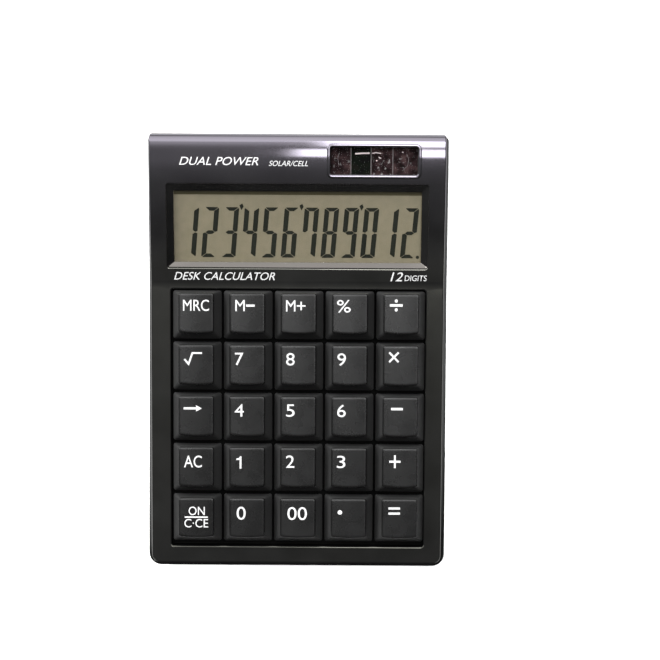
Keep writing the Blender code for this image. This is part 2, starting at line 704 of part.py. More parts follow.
def keycap():
    """Hollow cap with a sloping skirt, a dished top and a square stem."""
    bm = bmesh.new()
    base = KEY_BASE_HALF
    inner = base - KEY_WALL
    inset = KEY_ROUND
    ceiling_half = KEY_TOP_HALF_X - KEY_WALL
    loops = [
        key_loop(STEM_HALF, -STEM_HALF, STEM_HALF, STEM_END, 0.4 * MM),
        key_loop(STEM_HALF, -STEM_HALF, STEM_HALF, KEY_CEILING, 0.4 * MM),
        key_loop(ceiling_half, KEY_TOP_FRONT + KEY_WALL, KEY_TOP_BACK - KEY_WALL, KEY_CEILING, 0.6 * MM),
        key_loop(inner, -inner, inner, KEY_RIM, 0.6 * MM),
        key_loop(base, -base, base, KEY_RIM, 1.0 * MM),
        key_loop(
            KEY_TOP_HALF_X,
            KEY_TOP_FRONT,
            KEY_TOP_BACK,
            KEY_HEIGHT - KEY_ROUND,
            0.9 * MM,
            KEY_FRONT_BOW,
            KEY_DISH,
        ),
        key_loop(
            KEY_TOP_HALF_X - inset,
            KEY_TOP_FRONT + inset,
            KEY_TOP_BACK - inset,
            KEY_HEIGHT,
            0.6 * MM,
            KEY_FRONT_BOW,
            KEY_DISH,
        ),
    ]
    caps = loft(bm, loops)
    reach = KEY_TOP_HALF_X - inset - 0.6 * MM
    bisect_along(bm, 0, [reach * k / 2 for k in (-1, 0, 1)], [caps[1]])
    return bm


def make_keys():
    mesh = None
    for row, names in enumerate(KEY_NAMES):
        for column, name in enumerate(names):
            place = Matrix.Translation(((column - 2) * KEY_PITCH, (2 - row) * KEY_PITCH, 0))
            if mesh is None:
                key = new_object(name, keycap(), "key_black", KEYBOARD @ place)
                mesh = key.data
                continue
            key = bpy.data.objects.new(name, mesh)
            bpy.context.collection.objects.link(key)
            key.matrix_world = KEYBOARD @ place


# ================================================================ under the keys
def grid_lines(low, high, half):
    """Lines of a plate's grid: its two edges and both sides of each cell opening."""
    lines = [low]
    for k in range(5):
        centre = (k - 2) * KEY_PITCH
        lines += [centre - half, centre + half]
    return lines + [high]


def make_guide_plate():
    """Plate with one square hole for each key's stem, and a post for each board screw."""
    xs = grid_lines(-GUIDE_HALF_X, GUIDE_HALF_X, GUIDE_HOLE_HALF)
    ys = grid_lines(GUIDE_FRONT, GUIDE_BACK, GUIDE_HOLE_HALF)
    bm = bmesh.new()
    layers = [[[bm.verts.new((x, y, z)) for y in ys] for x in xs] for z in (GUIDE_BOTTOM, GUIDE_TOP)]
    faces_by_cell = set()
    for i in range(len(xs) - 1):
        for j in range(len(ys) - 1):
            if i % 2 and j % 2:
                continue
            faces_by_cell.add((i, j))
            for layer in layers:
                bm.faces.new((layer[i][j], layer[i + 1][j], layer[i + 1][j + 1], layer[i][j + 1]))
    bottom, top = layers
    for i, j in faces_by_cell:
        sides = {
            (i - 1, j): ((i, j), (i, j + 1)),
            (i + 1, j): ((i + 1, j), (i + 1, j + 1)),
            (i, j - 1): ((i, j), (i + 1, j)),
            (i, j + 1): ((i, j + 1), (i + 1, j + 1)),
        }
        for neighbour, ((a, b), (c, d)) in sides.items():
            if neighbour not in faces_by_cell:
                bm.faces.new((bottom[a][b], bottom[c][d], top[c][d], top[a][b]))
    plate = new_object("key_guide_plate", bm, "matte_black", KEYBOARD)
    for name, (x, y) in BOARD_SCREWS.items():
        post = prism(circle(POST_RADIUS, 10, (x, y)), BOARD_TOP + GAP, (GUIDE_TOP + GUIDE_BOTTOM) / 2)
        boolean(plate, cutter(name + "_post", post, KEYBOARD), "UNION")
    for name, (x, y) in BOARD_SCREWS.items():
        hole = prism(circle(0.95 * MM, 8, (x, y)), BOARD_TOP - 1 * MM, GUIDE_BOTTOM - 0.4 * MM)
        boolean(plate, cutter(name + "_post_hole", hole, KEYBOARD), "DIFFERENCE")


def make_dome_sheet():
    """Silicone sheet with a hollow eight-sided dome under each key."""
    edge = 2 * KEY_PITCH + DOME_MARGIN
    cuts = [-edge] + [(k - 1.5) * KEY_PITCH for k in range(4)] + [edge]
    bm = bmesh.new()
    sheets = {}

    def corner(x, y, z):
        key = (round(x / MM, 3), round(y / MM, 3), round(z / MM, 3))
        if key not in sheets:
            sheets[key] = bm.verts.new((x, y, z))
        return sheets[key]

    for i in range(5):
        for j in range(5):
            centre = ((i - 2) * KEY_PITCH, (j - 2) * KEY_PITCH)
            x_low, x_high, y_low, y_high = cuts[i], cuts[i + 1], cuts[j], cuts[j + 1]
            around = [
                (x_high, centre[1]),
                (x_high, y_high),
                (centre[0], y_high),
                (x_low, y_high),
                (x_low, centre[1]),
                (x_low, y_low),
                (centre[0], y_low),
                (x_high, y_low),
            ]
            outside = (DOME_SHEET_TOP, DOME_FOOT_RADIUS, DOME_TOP_RADIUS, DOME_TOP)
            inside = (
                DOME_SHEET_BOTTOM,
                DOME_FOOT_RADIUS - DOME_SKIN,
                DOME_TOP_RADIUS - DOME_SKIN,
                DOME_TOP - 1.6 * DOME_SKIN,
            )
            for sheet_z, foot, tip, tip_z in (outside, inside):
                rows = [
                    [corner(x, y, sheet_z) for x, y in around],
                    [bm.verts.new((x, y, sheet_z)) for x, y in circle(foot, 8, centre)],
                    [bm.verts.new((x, y, tip_z)) for x, y in circle(tip, 8, centre)],
                ]
                for lower, upper in zip(rows, rows[1:]):
                    for k in range(8):
                        m = (k + 1) % 8
                        bm.faces.new((lower[k], lower[m], upper[m], upper[k]))
                bm.faces.new(rows[-1])
    rim = [edge_item for edge_item in bm.edges if len(edge_item.link_faces) == 1]
    bmesh.ops.bridge_loops(bm, edges=rim)
    new_object("dome_sheet", bm, "silicone", KEYBOARD)


def make_board():
    plate = slab(BOARD_HALF_X, BOARD_FRONT, BOARD_BACK, BOARD_BOTTOM, BOARD_TOP, 1 * MM)
    board = new_object("main_board", plate, "board", KEYBOARD)
    for name, (x, y) in BOARD_SCREWS.items():
        hole = prism(circle(0.95 * MM, 8, (x, y)), BOARD_BOTTOM - 1 * MM, BOARD_TOP + 1 * MM)
        boolean(board, cutter(name + "_board_hole", hole, KEYBOARD), "DIFFERENCE")
    below = BOARD_BOTTOM - GAP
    drop = [(1.5 * MM, below - 1.4 * MM), (4.5 * MM, below - 1.1 * MM), (6.5 * MM, below)]
    blob = turned(drop, 16, (8 * MM, 30 * MM))
    new_object("chip_blob", blob, "epoxy", KEYBOARD)
    can_radius, can_half_length = 2.5 * MM, 4.5 * MM
    can = turned(
        [
            (can_radius - 0.3 * MM, -can_half_length),
            (can_radius, 0.3 * MM - can_half_length),
            (can_radius, can_half_length - 0.3 * MM),
            (can_radius - 0.3 * MM, can_half_length),
        ],
        14,
    )
    place = Matrix.Translation((30 * MM, 32 * MM, below - can_radius))
    lying = Matrix.Rotation(math.pi / 2, 4, "Y")
    new_object("capacitor", can, "can", KEYBOARD @ place @ lying)
    for name, (x, y) in BOARD_SCREWS.items():
        screw = turned(
            [
                (1.4 * MM, below - 0.9 * MM),
                (1.6 * MM, below - 0.6 * MM),
                (1.6 * MM, below),
                (0.62 * MM, below),
                (0.62 * MM, BOARD_TOP + 2.2 * MM),
                (0.3 * MM, BOARD_TOP + 2.5 * MM),
            ],
            10,
            (x, y),
        )
        new_object(name, screw, "steel", KEYBOARD)


# ================================================================ fasteners, feet, battery, wires
def make_case_screws():
    for name, (x, y) in CASE_SCREWS.items():
        seat = parting_height(y) - HEAD_SEAT_BELOW_SPLIT - GAP
        tip = parting_height(y) + SHANK_ENGAGEMENT
        screw = turned(
            [
                (HEAD_RADIUS - 0.35 * MM, seat - HEAD_HEIGHT),
                (HEAD_RADIUS, seat - HEAD_HEIGHT + 0.35 * MM),
                (HEAD_RADIUS, seat),
                (SHANK_RADIUS, seat),
                (SHANK_RADIUS, tip - 0.8 * MM),
                (0.3 * MM, tip),
            ],
            12,
            (x, y),
        )
        new_object(name, screw, "steel")


def make_feet():
    for name, (x, y) in FEET.items():
        top = FOOT_PROUD + FOOT_RECESS - GAP
        profile = [(FOOT_RADIUS - 0.4 * MM, 0.0), (FOOT_RADIUS, 0.4 * MM), (FOOT_RADIUS, top)]
        foot = turned(profile, 20, (x, y))
        new_object(name, foot, "rubber")


def make_battery():
    cell_top = CELL_BOTTOM + CELL_HEIGHT
    rim = 0.3 * MM
    cell = turned(
        [
            (CELL_RADIUS - rim, CELL_BOTTOM),
            (CELL_RADIUS, CELL_BOTTOM + rim),
            (CELL_RADIUS, cell_top - 2 * rim),
            (CELL_RADIUS - 3 * rim, cell_top),
        ],
        20,
        (BAY_X, CELL_Y),
    )
    new_object("battery_cell", cell, "steel")

    door = along_y(door_profile(0.0, FOOT_PROUD, DOOR_STEP_Z, DOOR_TOP_Z), DOOR_FRONT_Y, DOOR_BACK_Y)
    new_object("battery_door", door, "matte_black")

    place = Matrix.Translation((BAY_X, CELL_Y, 0))
    rest = BLOCK_TOP + GAP + CONTACT_THICKNESS / 2
    leaf = cell_top + GAP + CONTACT_THICKNESS / 2
    negative = [(-11 * MM, rest), (-5.5 * MM, rest), (-1.5 * MM, leaf), (3 * MM, leaf)]
    strip = polyline_strip(negative, CONTACT_HALF_WIDTH, CONTACT_THICKNESS, False)
    new_object("battery_contact_negative", strip, "steel", place)
    side = CELL_RADIUS + 0.6 * MM
    positive = [(11 * MM, rest), (side, rest), (side, CELL_BOTTOM + 0.6 * MM)]
    strip = polyline_strip(positive, CONTACT_HALF_WIDTH, CONTACT_THICKNESS, False)
    new_object("battery_contact_positive", strip, "steel", place)


def smooth_route(points, steps):
    """Points of a smooth curve (Catmull-Rom) through hand-placed ones."""
    points = [Vector(point) for point in points]
    padded = [2 * points[0] - points[1], *points, 2 * points[-1] - points[-2]]
    route = []
    for a, b, c, d in zip(padded, padded[1:], padded[2:], padded[3:]):
        for k in range(steps):
            t = k / steps
            pull = 2 * b + (c - a) * t + (2 * a - 5 * b + 4 * c - d) * t**2 + (3 * b - a - 3 * c + d) * t**3
            route.append(pull / 2)
    route.append(points[-1])
    return route


def make_wire(name, points, finish):
    route = smooth_route([Vector(point) * MM for point in points], 4)
    curve = bpy.data.curves.new(name, "CURVE")
    curve.dimensions = "3D"
    curve.bevel_depth = WIRE_RADIUS
    curve.bevel_resolution = 2
    curve.use_fill_caps = True
    spline = curve.splines.new("POLY")
    spline.points.add(len(route) - 1)
    for target, point in zip(spline.points, route):
        target.co = (*point, 1)
    wire = bpy.data.objects.new(name, curve)
    bpy.context.collection.objects.link(wire)
    wire.data.materials.append(material(finish))


def make_wires():
    # millimetres, from the cell or contact to the back edge of the board
    make_wire(
        "solar_wire_red",
        [(20, 67.5, 28.6), (20, 66, 25), (22, 60, 21.5), (24, 48, 18), (26, 34, 15.5), (26, 25.2, 14.2)],
        "red_wire",
    )
    make_wire(
        "solar_wire_black",
        [(33, 67.5, 28.6), (33, 66, 25), (33, 60, 21), (32, 48, 17.5), (31, 34, 15), (31, 25.2, 14.2)],
        "black_wire",
    )
    make_wire(
        "battery_wire_red",
        [(-12.6, 62, 9.6), (-11, 58, 10.8), (-9, 50, 12), (-8, 38, 13.2), (-8, 25.2, 14.2)],
        "red_wire",
    )
    make_wire(
        "battery_wire_black",
        [(-31.4, 62, 9.6), (-31, 58, 10.8), (-28, 50, 12), (-24, 38, 13.2), (-22, 25.2, 14.2)],
        "black_wire",
    )


def main():
    clear_scene()
    make_upper_housing()
    make_lower_housing()
    make_display()
    make_flex_strip()
    make_solar()
    make_keys()
    make_guide_plate()
    make_dome_sheet()
    make_board()
    make_case_screws()
    make_feet()
    make_battery()
    make_wires()


main()
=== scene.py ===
"""Looks of the desk calculator: housing, keycaps, legends, display, solar cell, light and camera.

Lengths are in metres, with MM for one millimetre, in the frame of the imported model:
+X to the right, +Y towards the display end, +Z up, origin on the table under the case.
"""

import math

import bmesh
import bpy
from mathutils import Matrix, Vector
from mathutils.geometry import delaunay_2d_cdt


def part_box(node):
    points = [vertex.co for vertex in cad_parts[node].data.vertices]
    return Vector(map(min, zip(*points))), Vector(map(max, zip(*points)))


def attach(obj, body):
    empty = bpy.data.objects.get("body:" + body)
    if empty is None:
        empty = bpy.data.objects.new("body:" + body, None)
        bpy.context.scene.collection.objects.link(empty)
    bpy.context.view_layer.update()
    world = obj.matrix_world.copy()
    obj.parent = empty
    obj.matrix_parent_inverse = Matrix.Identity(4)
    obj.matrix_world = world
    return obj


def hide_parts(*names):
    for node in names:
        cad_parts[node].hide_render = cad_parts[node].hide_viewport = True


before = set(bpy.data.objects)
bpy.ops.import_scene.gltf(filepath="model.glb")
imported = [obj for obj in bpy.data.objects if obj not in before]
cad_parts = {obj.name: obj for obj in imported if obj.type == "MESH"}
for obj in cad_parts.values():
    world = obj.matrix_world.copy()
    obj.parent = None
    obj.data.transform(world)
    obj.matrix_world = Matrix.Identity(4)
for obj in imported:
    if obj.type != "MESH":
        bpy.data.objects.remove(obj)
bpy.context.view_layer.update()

MM = 0.001
CASE = "case"

# -------- case curves, as in the CAD model
CASE_LOW, CASE_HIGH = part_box("upper_housing")
HALF_WIDTH = (CASE_HIGH[0] - CASE_LOW[0]) / 2
FRONT_Y, BACK_Y = CASE_LOW[1], CASE_HIGH[1]
FRONT_HEIGHT = 14.0 * MM
KEYBOARD_TILT = math.radians(5.6)
KINK_Y = FRONT_Y + 101.6 * MM
KINK_BLEND = 1.6 * MM
DISPLAY_START_TILT = math.radians(15.5)
DISPLAY_RADIUS = 600.0 * MM
CREST_Y = FRONT_Y + 136.5 * MM
CREST_RADIUS = 110.0 * MM
BACK_ROUND_Y = FRONT_Y + 150.5 * MM
BACK_ROUND_RADIUS = 3.0 * MM
BACK_ROUND_END_TILT = math.radians(-80)
FRONT_CORNER_RADIUS = 4.5 * MM
BACK_CORNER_RADIUS = 1.8 * MM
SMALLEST_RADIUS = 0.4 * MM
PARTING_FRONT = 7.0 * MM
PARTING_TILT_KEYBOARD = math.radians(2.7)
PARTING_TILT_DISPLAY = math.radians(9.4)
WALL = 2.1 * MM
TOP_WALL = 2.15 * MM
PARTING_GAP = 0.15 * MM
PARTING_CHAMFER = 0.15 * MM
SIDE_DRAFT = 1.75 * MM
BACK_DRAFT = 0.5 * MM
TOP_EDGE_DROP = 0.6 * MM
TOP_EDGE_SIDE = 0.55 * MM
TOP_EDGE_BACK = 0.25 * MM

# -------- keyboard
GRID_Y = -22.5 * MM
KEY_PITCH_X = 18.0 * MM
KEY_PITCH_Y = 18.2 * MM
KEYS_X = 0.6 * MM
KEYS_Y = -0.35 * MM
KEY_BASE_HALF = 8.6 * MM
KEY_TOP_HALF_X = 6.3 * MM
KEY_TOP_FRONT = -5.75 * MM
KEY_TOP_BACK = 8.2 * MM
KEY_HEIGHT = 6.0 * MM
KEY_RIM = -1.2 * MM
KEY_WALL = 1.1 * MM
KEY_CEILING = 3.6 * MM
KEY_EDGE = 0.6 * MM
KEY_DISH = 0.22 * MM
KEY_FRONT_BOW = 0.45 * MM
KEY_CHAMFER = 0.15 * MM
STEM_HALF = 2.5 * MM
STEM_END = -5.5 * MM
WELL_LEFT_X = -44.75 * MM
WELL_RIGHT_X = 45.45 * MM
WELL_FRONT_Y = GRID_Y - 47.1 * MM * math.cos(KEYBOARD_TILT)
WELL_BACK_Y = GRID_Y + 45.2 * MM * math.cos(KEYBOARD_TILT)
WELL_RADIUS = 0.9 * MM
WELL_SKIRT = 1.5 * MM
WELL_SKIRT_END = 3.9 * MM
WELL_EDGE = 0.5 * MM
WELL_LEDGE = 0.9 * MM

# -------- display and solar window
DISPLAY_HALF_X = 45.8 * MM
DISPLAY_FRONT_Y = FRONT_Y + 107.0 * MM
DISPLAY_BACK_Y = CREST_Y - 0.4 * MM
BEVEL_SIDE = 2.3 * MM
BEVEL_FRONT = 1.7 * MM
BEVEL_BACK = 2.6 * MM
BEVEL_DEPTH = 2.0 * MM
DISPLAY_EDGE = 0.35 * MM
GLASS_DEPTH = 3.6 * MM
GROOVE_DEPTH = 0.8 * MM
GROOVE_WIDTH = 0.16 * MM
# width of the painted shadow along the LCD's back edge
LCD_SHADOW_WIDTH = 1.7 * MM
SOLAR_X = 26.65 * MM
SOLAR_FRONT_Y = FRONT_Y + 139.3 * MM
SOLAR_BACK_Y = FRONT_Y + 148.95 * MM
SOLAR_HALF_X = 15.25 * MM
SOLAR_RADIUS = 0.75 * MM
SOLAR_BEAD = 1.2 * MM
SOLAR_BEAD_HEIGHT = 0.22 * MM
SOLAR_FILM_DEPTH = 3.4 * MM

# -------- ink and film
INK_THICKNESS = 0.03 * MM
INK_SINK = 0.01 * MM
FILM_RISE = 0.04 * MM

# -------- camera
CAMERA_PLACE = (11.6 * MM, 8.25 * MM, 613.8 * MM)
CAMERA_ROLL = math.radians(0.35)
CAMERA_LENS = 91.1
CAMERA_SENSOR = 36.0


# ======== curves of the case
def arc_drop(run, tilt, radius):
    """Height gained along a crowned arc after a horizontal run, and the tilt there."""
    end_tilt = math.asin(math.sin(tilt) - run / radius)
    return radius * (math.cos(end_tilt) - math.cos(tilt)), end_tilt


def case_height(y):
    """Height of the case's top surface."""
    rise = FRONT_HEIGHT + (min(y, KINK_Y) - FRONT_Y) * math.tan(KEYBOARD_TILT)
    if abs(y - KINK_Y) < KINK_BLEND:
        across = y - KINK_Y + KINK_BLEND
        bend = math.tan(DISPLAY_START_TILT) - math.tan(KEYBOARD_TILT)
        before = FRONT_HEIGHT + (KINK_Y - KINK_BLEND - FRONT_Y) * math.tan(KEYBOARD_TILT)
        return before + across * math.tan(KEYBOARD_TILT) + bend * across**2 / (4 * KINK_BLEND)
    if y <= KINK_Y:
        return rise
    gained, tilt = arc_drop(min(y, CREST_Y) - KINK_Y, DISPLAY_START_TILT, DISPLAY_RADIUS)
    rise += gained
    if y <= CREST_Y:
        return rise
    gained, tilt = arc_drop(min(y, BACK_ROUND_Y) - CREST_Y, tilt, CREST_RADIUS)
    rise += gained
    if y <= BACK_ROUND_Y:
        return rise
    end_run = BACK_ROUND_RADIUS * (math.sin(tilt) - math.sin(BACK_ROUND_END_TILT))
    gained, _ = arc_drop(min(y - BACK_ROUND_Y, end_run), tilt, BACK_ROUND_RADIUS)
    steep = max(0.0, y - BACK_ROUND_Y - end_run) * math.tan(BACK_ROUND_END_TILT)
    return rise + gained + steep


def case_tilt(y):
    """Slope angle of the top surface, from a small step to each side."""
    step = 0.02 * MM
    return math.atan2(case_height(y + step) - case_height(y - step), 2 * step)


def on_case(x, y, depth=0.0):
    """Point under the top surface, a depth below it, square to the surface."""
    tilt = case_tilt(y)
    return Vector((x, y + depth * math.sin(tilt), case_height(y) - depth * math.cos(tilt)))


def parting_height(y):
    """Height of the line between the two housings."""
    front_part = (min(y, KINK_Y) - FRONT_Y) * math.tan(PARTING_TILT_KEYBOARD)
    back_part = max(0.0, y - KINK_Y) * math.tan(PARTING_TILT_DISPLAY)
    return PARTING_FRONT + front_part + back_part


def steps_between(low, high, step):
    """Even stops from low to high, both included."""
    count = max(1, round((high - low) / step))
    return [low + (high - low) * k / count for k in range(count + 1)]


def stations():
    """Rows across the case, close together where it curves."""
    rows = steps_between(FRONT_Y + 6 * MM, KINK_Y - 2.4 * MM, 6 * MM)
    rows += steps_between(KINK_Y - 2 * MM, KINK_Y + 2 * MM, 0.4 * MM)
    rows += steps_between(KINK_Y + 3 * MM, CREST_Y, 2 * MM)
    rows += steps_between(CREST_Y + 1 * MM, BACK_ROUND_Y - 1 * MM, 1 * MM)
    rows += steps_between(BACK_ROUND_Y - 0.5 * MM, BACK_ROUND_Y + 1.2 * MM, 0.2 * MM)
    return rows


def tilted_plane(x, y_front, y_back):
    """Frame on the top surface: origin midway, local Y up the slope, local Z square to it."""
    front = Vector((x, y_front, case_height(y_front)))
    back = Vector((x, y_back, case_height(y_back)))
    tilt = math.atan2(back.z - front.z, back.y - front.y)
    return Matrix.Translation((front + back) / 2) @ Matrix.Rotation(tilt, 4, "X")


KEYBOARD = Matrix.Translation((0, GRID_Y, case_height(GRID_Y))) @ Matrix.Rotation(KEYBOARD_TILT, 4, "X")
DISPLAY = tilted_plane(0, DISPLAY_FRONT_Y, CREST_Y)
SOLAR = tilted_plane(SOLAR_X, SOLAR_FRONT_Y, SOLAR_BACK_Y)


# ======== mesh helpers
def outline(x_low, x_high, y_low, y_high, radius_front, radius_back, corner=6, stops=(), across=0):
    """Rounded rectangle, anticlockwise, with points at the given y stops and across both ends."""
    corners = [
        (x_high - radius_front, y_low + radius_front, radius_front, -90),
        (x_high - radius_back, y_high - radius_back, radius_back, 0),
        (x_low + radius_back, y_high - radius_back, radius_back, 90),
        (x_low + radius_front, y_low + radius_front, radius_front, 180),
    ]
    points = []
    for index, (x, y, radius, start) in enumerate(corners):
        for k in range(corner + 1):
            angle = math.radians(start + 90 * k / corner)
            points.append((x + radius * math.cos(angle), y + radius * math.sin(angle)))
        if index == 0:
            points += [(x_high, stop) for stop in stops]
        if index == 2:
            points += [(x_low, stop) for stop in reversed(stops)]
        if index in (1, 3):
            begin, end = x, corners[(index + 1) % 4][0]
            edge_y = y_high if index == 1 else y_low
            points += [(begin + (end - begin) * k / (across + 1), edge_y) for k in range(1, across + 1)]
    return points


def skin(bm, low, high, material_index=0):
    """Quads between two rows of the same length."""
    for k in range(len(low)):
        j = (k + 1) % len(low)
        face = bm.faces.new((low[k], low[j], high[j], high[k]))
        face.material_index = material_index


def skin_rows(bm, rows, material_index=0):
    for low, high in zip(rows, rows[1:]):
        skin(bm, low, high, material_index)


def is_inside(polygon, point):
    """Even-odd test."""
    found = False
    x, y = point
    for k, (x1, y1) in enumerate(polygon):
        x2, y2 = polygon[k - 1]
        if (y1 > y) != (y2 > y) and x < (x2 - x1) * (y - y1) / (y2 - y1) + x1:
            found = not found
    return found


def fill_region(bm, outer, holes, extra, upwards=True):
    """Triangles inside the outer row and outside the hole rows, through the extra vertices."""
    verts = []
    edges = []
    for row in (outer, *holes):
        first = len(verts)
        verts += row
        edges += [(first + k, first + (k + 1) % len(row)) for k in range(len(row))]
    verts += extra
    flat = [Vector((vert.co.x, vert.co.y)) for vert in verts]
    _, _, faces, sources, _, _ = delaunay_2d_cdt(flat, edges, [], 0, 1e-9)
    outer_plan = [(vert.co.x, vert.co.y) for vert in outer]
    hole_plans = [[(vert.co.x, vert.co.y) for vert in row] for row in holes]
    for face in faces:
        ids = [sources[k][0] for k in face]
        middle = sum((flat[k] for k in ids), Vector((0, 0))) / 3
        if not is_inside(outer_plan, middle) or any(is_inside(plan, middle) for plan in hole_plans):
            continue
        turn = (flat[ids[1]] - flat[ids[0]]).cross(flat[ids[2]] - flat[ids[0]])
        if (turn > 0) != upwards:
            ids.reverse()
        bm.faces.new([verts[k] for k in ids])


def quarter(steps):
    """(sine, cosine) pairs over a quarter turn."""
    return [(math.sin(math.pi / 2 * k / steps), math.cos(math.pi / 2 * k / steps)) for k in range(steps + 1)]


def finished(name, bm, materials, body, replaces=(), matrix=None, smooth=30.0):
    """Object of a bmesh, shaded, with its materials, riding on a body."""
    bmesh.ops.recalc_face_normals(bm, faces=bm.faces)
    if matrix is not None:
        bm.transform(matrix)
    mesh = bpy.data.meshes.new(name)
    bm.to_mesh(mesh)
    bm.free()
    item = bpy.data.objects.new(name, mesh)
    bpy.context.scene.collection.objects.link(item)
    for made in materials:
        mesh.materials.append(made)
    mesh.shade_smooth()
    if smooth is not None:
        mesh.set_sharp_from_angle(angle=math.radians(smooth))
    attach(item, body)
    if replaces:
        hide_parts(*replaces)
    return item


# ======== materials
def node(tree, kind, **inputs):
    """Shader node with its inputs set by name, with _ for a space. A number, a colour or a socket."""
    made = tree.nodes.new(kind)
    for name, value in inputs.items():
        socket = made.inputs[name.replace("_", " ")]
        if isinstance(value, bpy.types.NodeSocket):
            tree.links.new(value, socket)
        else:
            socket.default_value = value
    return made


def new_material(name):
    """Material with its node tree and its Principled shader."""
    made = bpy.data.materials.new(name)
    made.use_nodes = True
    tree = made.node_tree
    return made, tree, tree.nodes["Principled BSDF"]


def noise(tree, scale, detail=3.0, stretch=(1, 1, 1)):
    """Noise in the object's own coordinates, its scale in cycles per metre."""
    place = tree.nodes.new("ShaderNodeTexCoord").outputs["Object"]
    mapped = node(tree, "ShaderNodeMapping", Vector=place, Scale=stretch).outputs["Vector"]
    return node(tree, "ShaderNodeTexNoise", Vector=mapped, Scale=scale, Detail=detail).outputs["Fac"]


def ramp(tree, value, *stops):
    """Colour ramp over (position, colour) stops."""
    made = node(tree, "ShaderNodeValToRGB", Fac=value)
    band = made.color_ramp
    band.elements[0].position, band.elements[0].color = stops[0]
    band.elements[1].position, band.elements[1].color = stops[-1]
    for position, colour in stops[1:-1]:
        band.elements.new(position).color = colour
    return made.outputs["Color"]


def map_range(tree, value, low, high, out_low=0.0, out_high=1.0, curve="LINEAR"):
    """Value mapped from low to high onto out_low to out_high."""
    ends = {"From_Min": low, "From_Max": high, "To_Min": out_low, "To_Max": out_high}
    made = node(tree, "ShaderNodeMapRange", Value=value, **ends)
    made.interpolation_type = curve
    return made.outputs["Result"]


def smooth_range(tree, value, low, high, out_low=0.0, out_high=1.0):
    """The same mapping with soft ends."""
    return map_range(tree, value, low, high, out_low, out_high, "SMOOTHSTEP")


def scaled(tree, value, low, high):
    """Noise value mapped from its usual 0.3 to 0.7 onto low to high."""
    return map_range(tree, value, 0.3, 0.7, low, high)


def combine(tree, operation, *values):
    """Folds several values with one maths operation."""
    total = values[0]
    for value in values[1:]:
        made = tree.nodes.new("ShaderNodeMath")
        made.operation = operation
        for socket, item in zip(made.inputs, (total, value)):
            if isinstance(item, bpy.types.NodeSocket):
                tree.links.new(item, socket)
            else:
                socket.default_value = item
        total = made.outputs["Value"]
    return total


def blend_colours(tree, share, first, second):
    """Colour between two colours or colour sockets."""
    made = tree.nodes.new("ShaderNodeMix")
    made.data_type = "RGBA"
    for index, value in ((0, share), (6, first), (7, second)):
        if isinstance(value, bpy.types.NodeSocket):
            tree.links.new(value, made.inputs[index])
        else:
            made.inputs[index].default_value = value
    return made.outputs[2]


def bump(tree, shader, height, strength, distance):
    """Fine relief on a shader's normal."""
    made = node(tree, "ShaderNodeBump", Height=height, Strength=strength, Distance=distance)
    tree.links.new(made.outputs["Normal"], shader.inputs["Normal"])


def grey(value):
    return (value, value, value, 1.0)


def plastic(name, dark, light, roughness, grain, depth=0.01, fleck=2500.0, ior=1.5):
    """Moulded plastic: two close colours in soft clouds, a fine grain (depth in mm) and uneven gloss."""
    made, tree, shader = new_material(name)
    clouds = noise(tree, 60.0)
    tree.links.new(ramp(tree, clouds, (0.3, dark), (0.7, light)), shader.inputs["Base Color"])
    gloss = scaled(tree, noise(tree, 180.0, 6.0), roughness * 0.85, roughness * 1.15)
    tree.links.new(gloss, shader.inputs["Roughness"])
    shader.inputs["IOR"].default_value = ior
    bump(tree, shader, noise(tree, fleck, 2.0), grain, depth * MM)
    return made


def side_gloss():
    """Glossy black of the housing. Where it is seen edge-on its shine fades and its colour turns a lighter
    grey, a painted sheen; its reflections carry a painted tint, warm at the front and mauve at the back.
    """
    made = plastic("case_gloss", grey(0.004), grey(0.007), 0.06, 0.02, fleck=900.0)
    tree = made.node_tree
    shader = tree.nodes["Principled BSDF"]
    facing = node(tree, "ShaderNodeLayerWeight", Blend=0.5).outputs["Facing"]
    clouds = shader.inputs["Base Color"].links[0].from_socket
    place = tree.nodes.new("ShaderNodeTexCoord").outputs["Object"]
    back = node(tree, "ShaderNodeSeparateXYZ", Vector=place).outputs["Y"]
    off_front = smooth_range(tree, back, FRONT_Y + 3 * MM, FRONT_Y + 9 * MM)
    # seen edge-on, away from the front wall, the colour turns a lighter grey: a painted sheen in place of
    # the reflection faded out there
    painted_edge_sheen = combine(tree, "MULTIPLY", smooth_range(tree, facing, 0.82, 0.9), off_front)
    tree.links.new(blend_colours(tree, painted_edge_sheen, clouds, grey(0.05)), shader.inputs["Base Color"])
    shine = smooth_range(tree, back, KINK_Y - 4 * MM, KINK_Y + 8 * MM, 0.32, 0.75)
    on_top = smooth_range(tree, back, FRONT_Y + 1.9 * MM, FRONT_Y + 2.5 * MM)
    level = combine(tree, "MULTIPLY", smooth_range(tree, facing, 0.62, 0.76, 1.0, 0.0), shine, on_top)
    tree.links.new(level, shader.inputs["Specular IOR Level"])
    # reflections tinted warm at the front and mauve towards the back: a painted colour of the light they
    # reflect
    warm_front = (1.0, 1.0, 0.86, 1.0)
    cool_back = (1.0, 0.93, 1.1, 1.0)
    towards_back = smooth_range(tree, back, KINK_Y, KINK_Y + 30 * MM)
    painted_reflection_tint = blend_colours(tree, towards_back, warm_front, cool_back)
    tree.links.new(painted_reflection_tint, shader.inputs["Specular Tint"])
    return made


def bezel_satin():
    """Satin black of the bevel round the display, its reflections given a painted warm tint."""
    made = plastic("bezel_satin", grey(0.004), grey(0.007), 0.14, 0.1, ior=1.62)
    # painted warm tint on the bevel's reflections, for the beige light seen on it
    made.node_tree.nodes["Principled BSDF"].inputs["Specular Tint"].default_value = (1.0, 0.93, 0.86, 1.0)
    return made


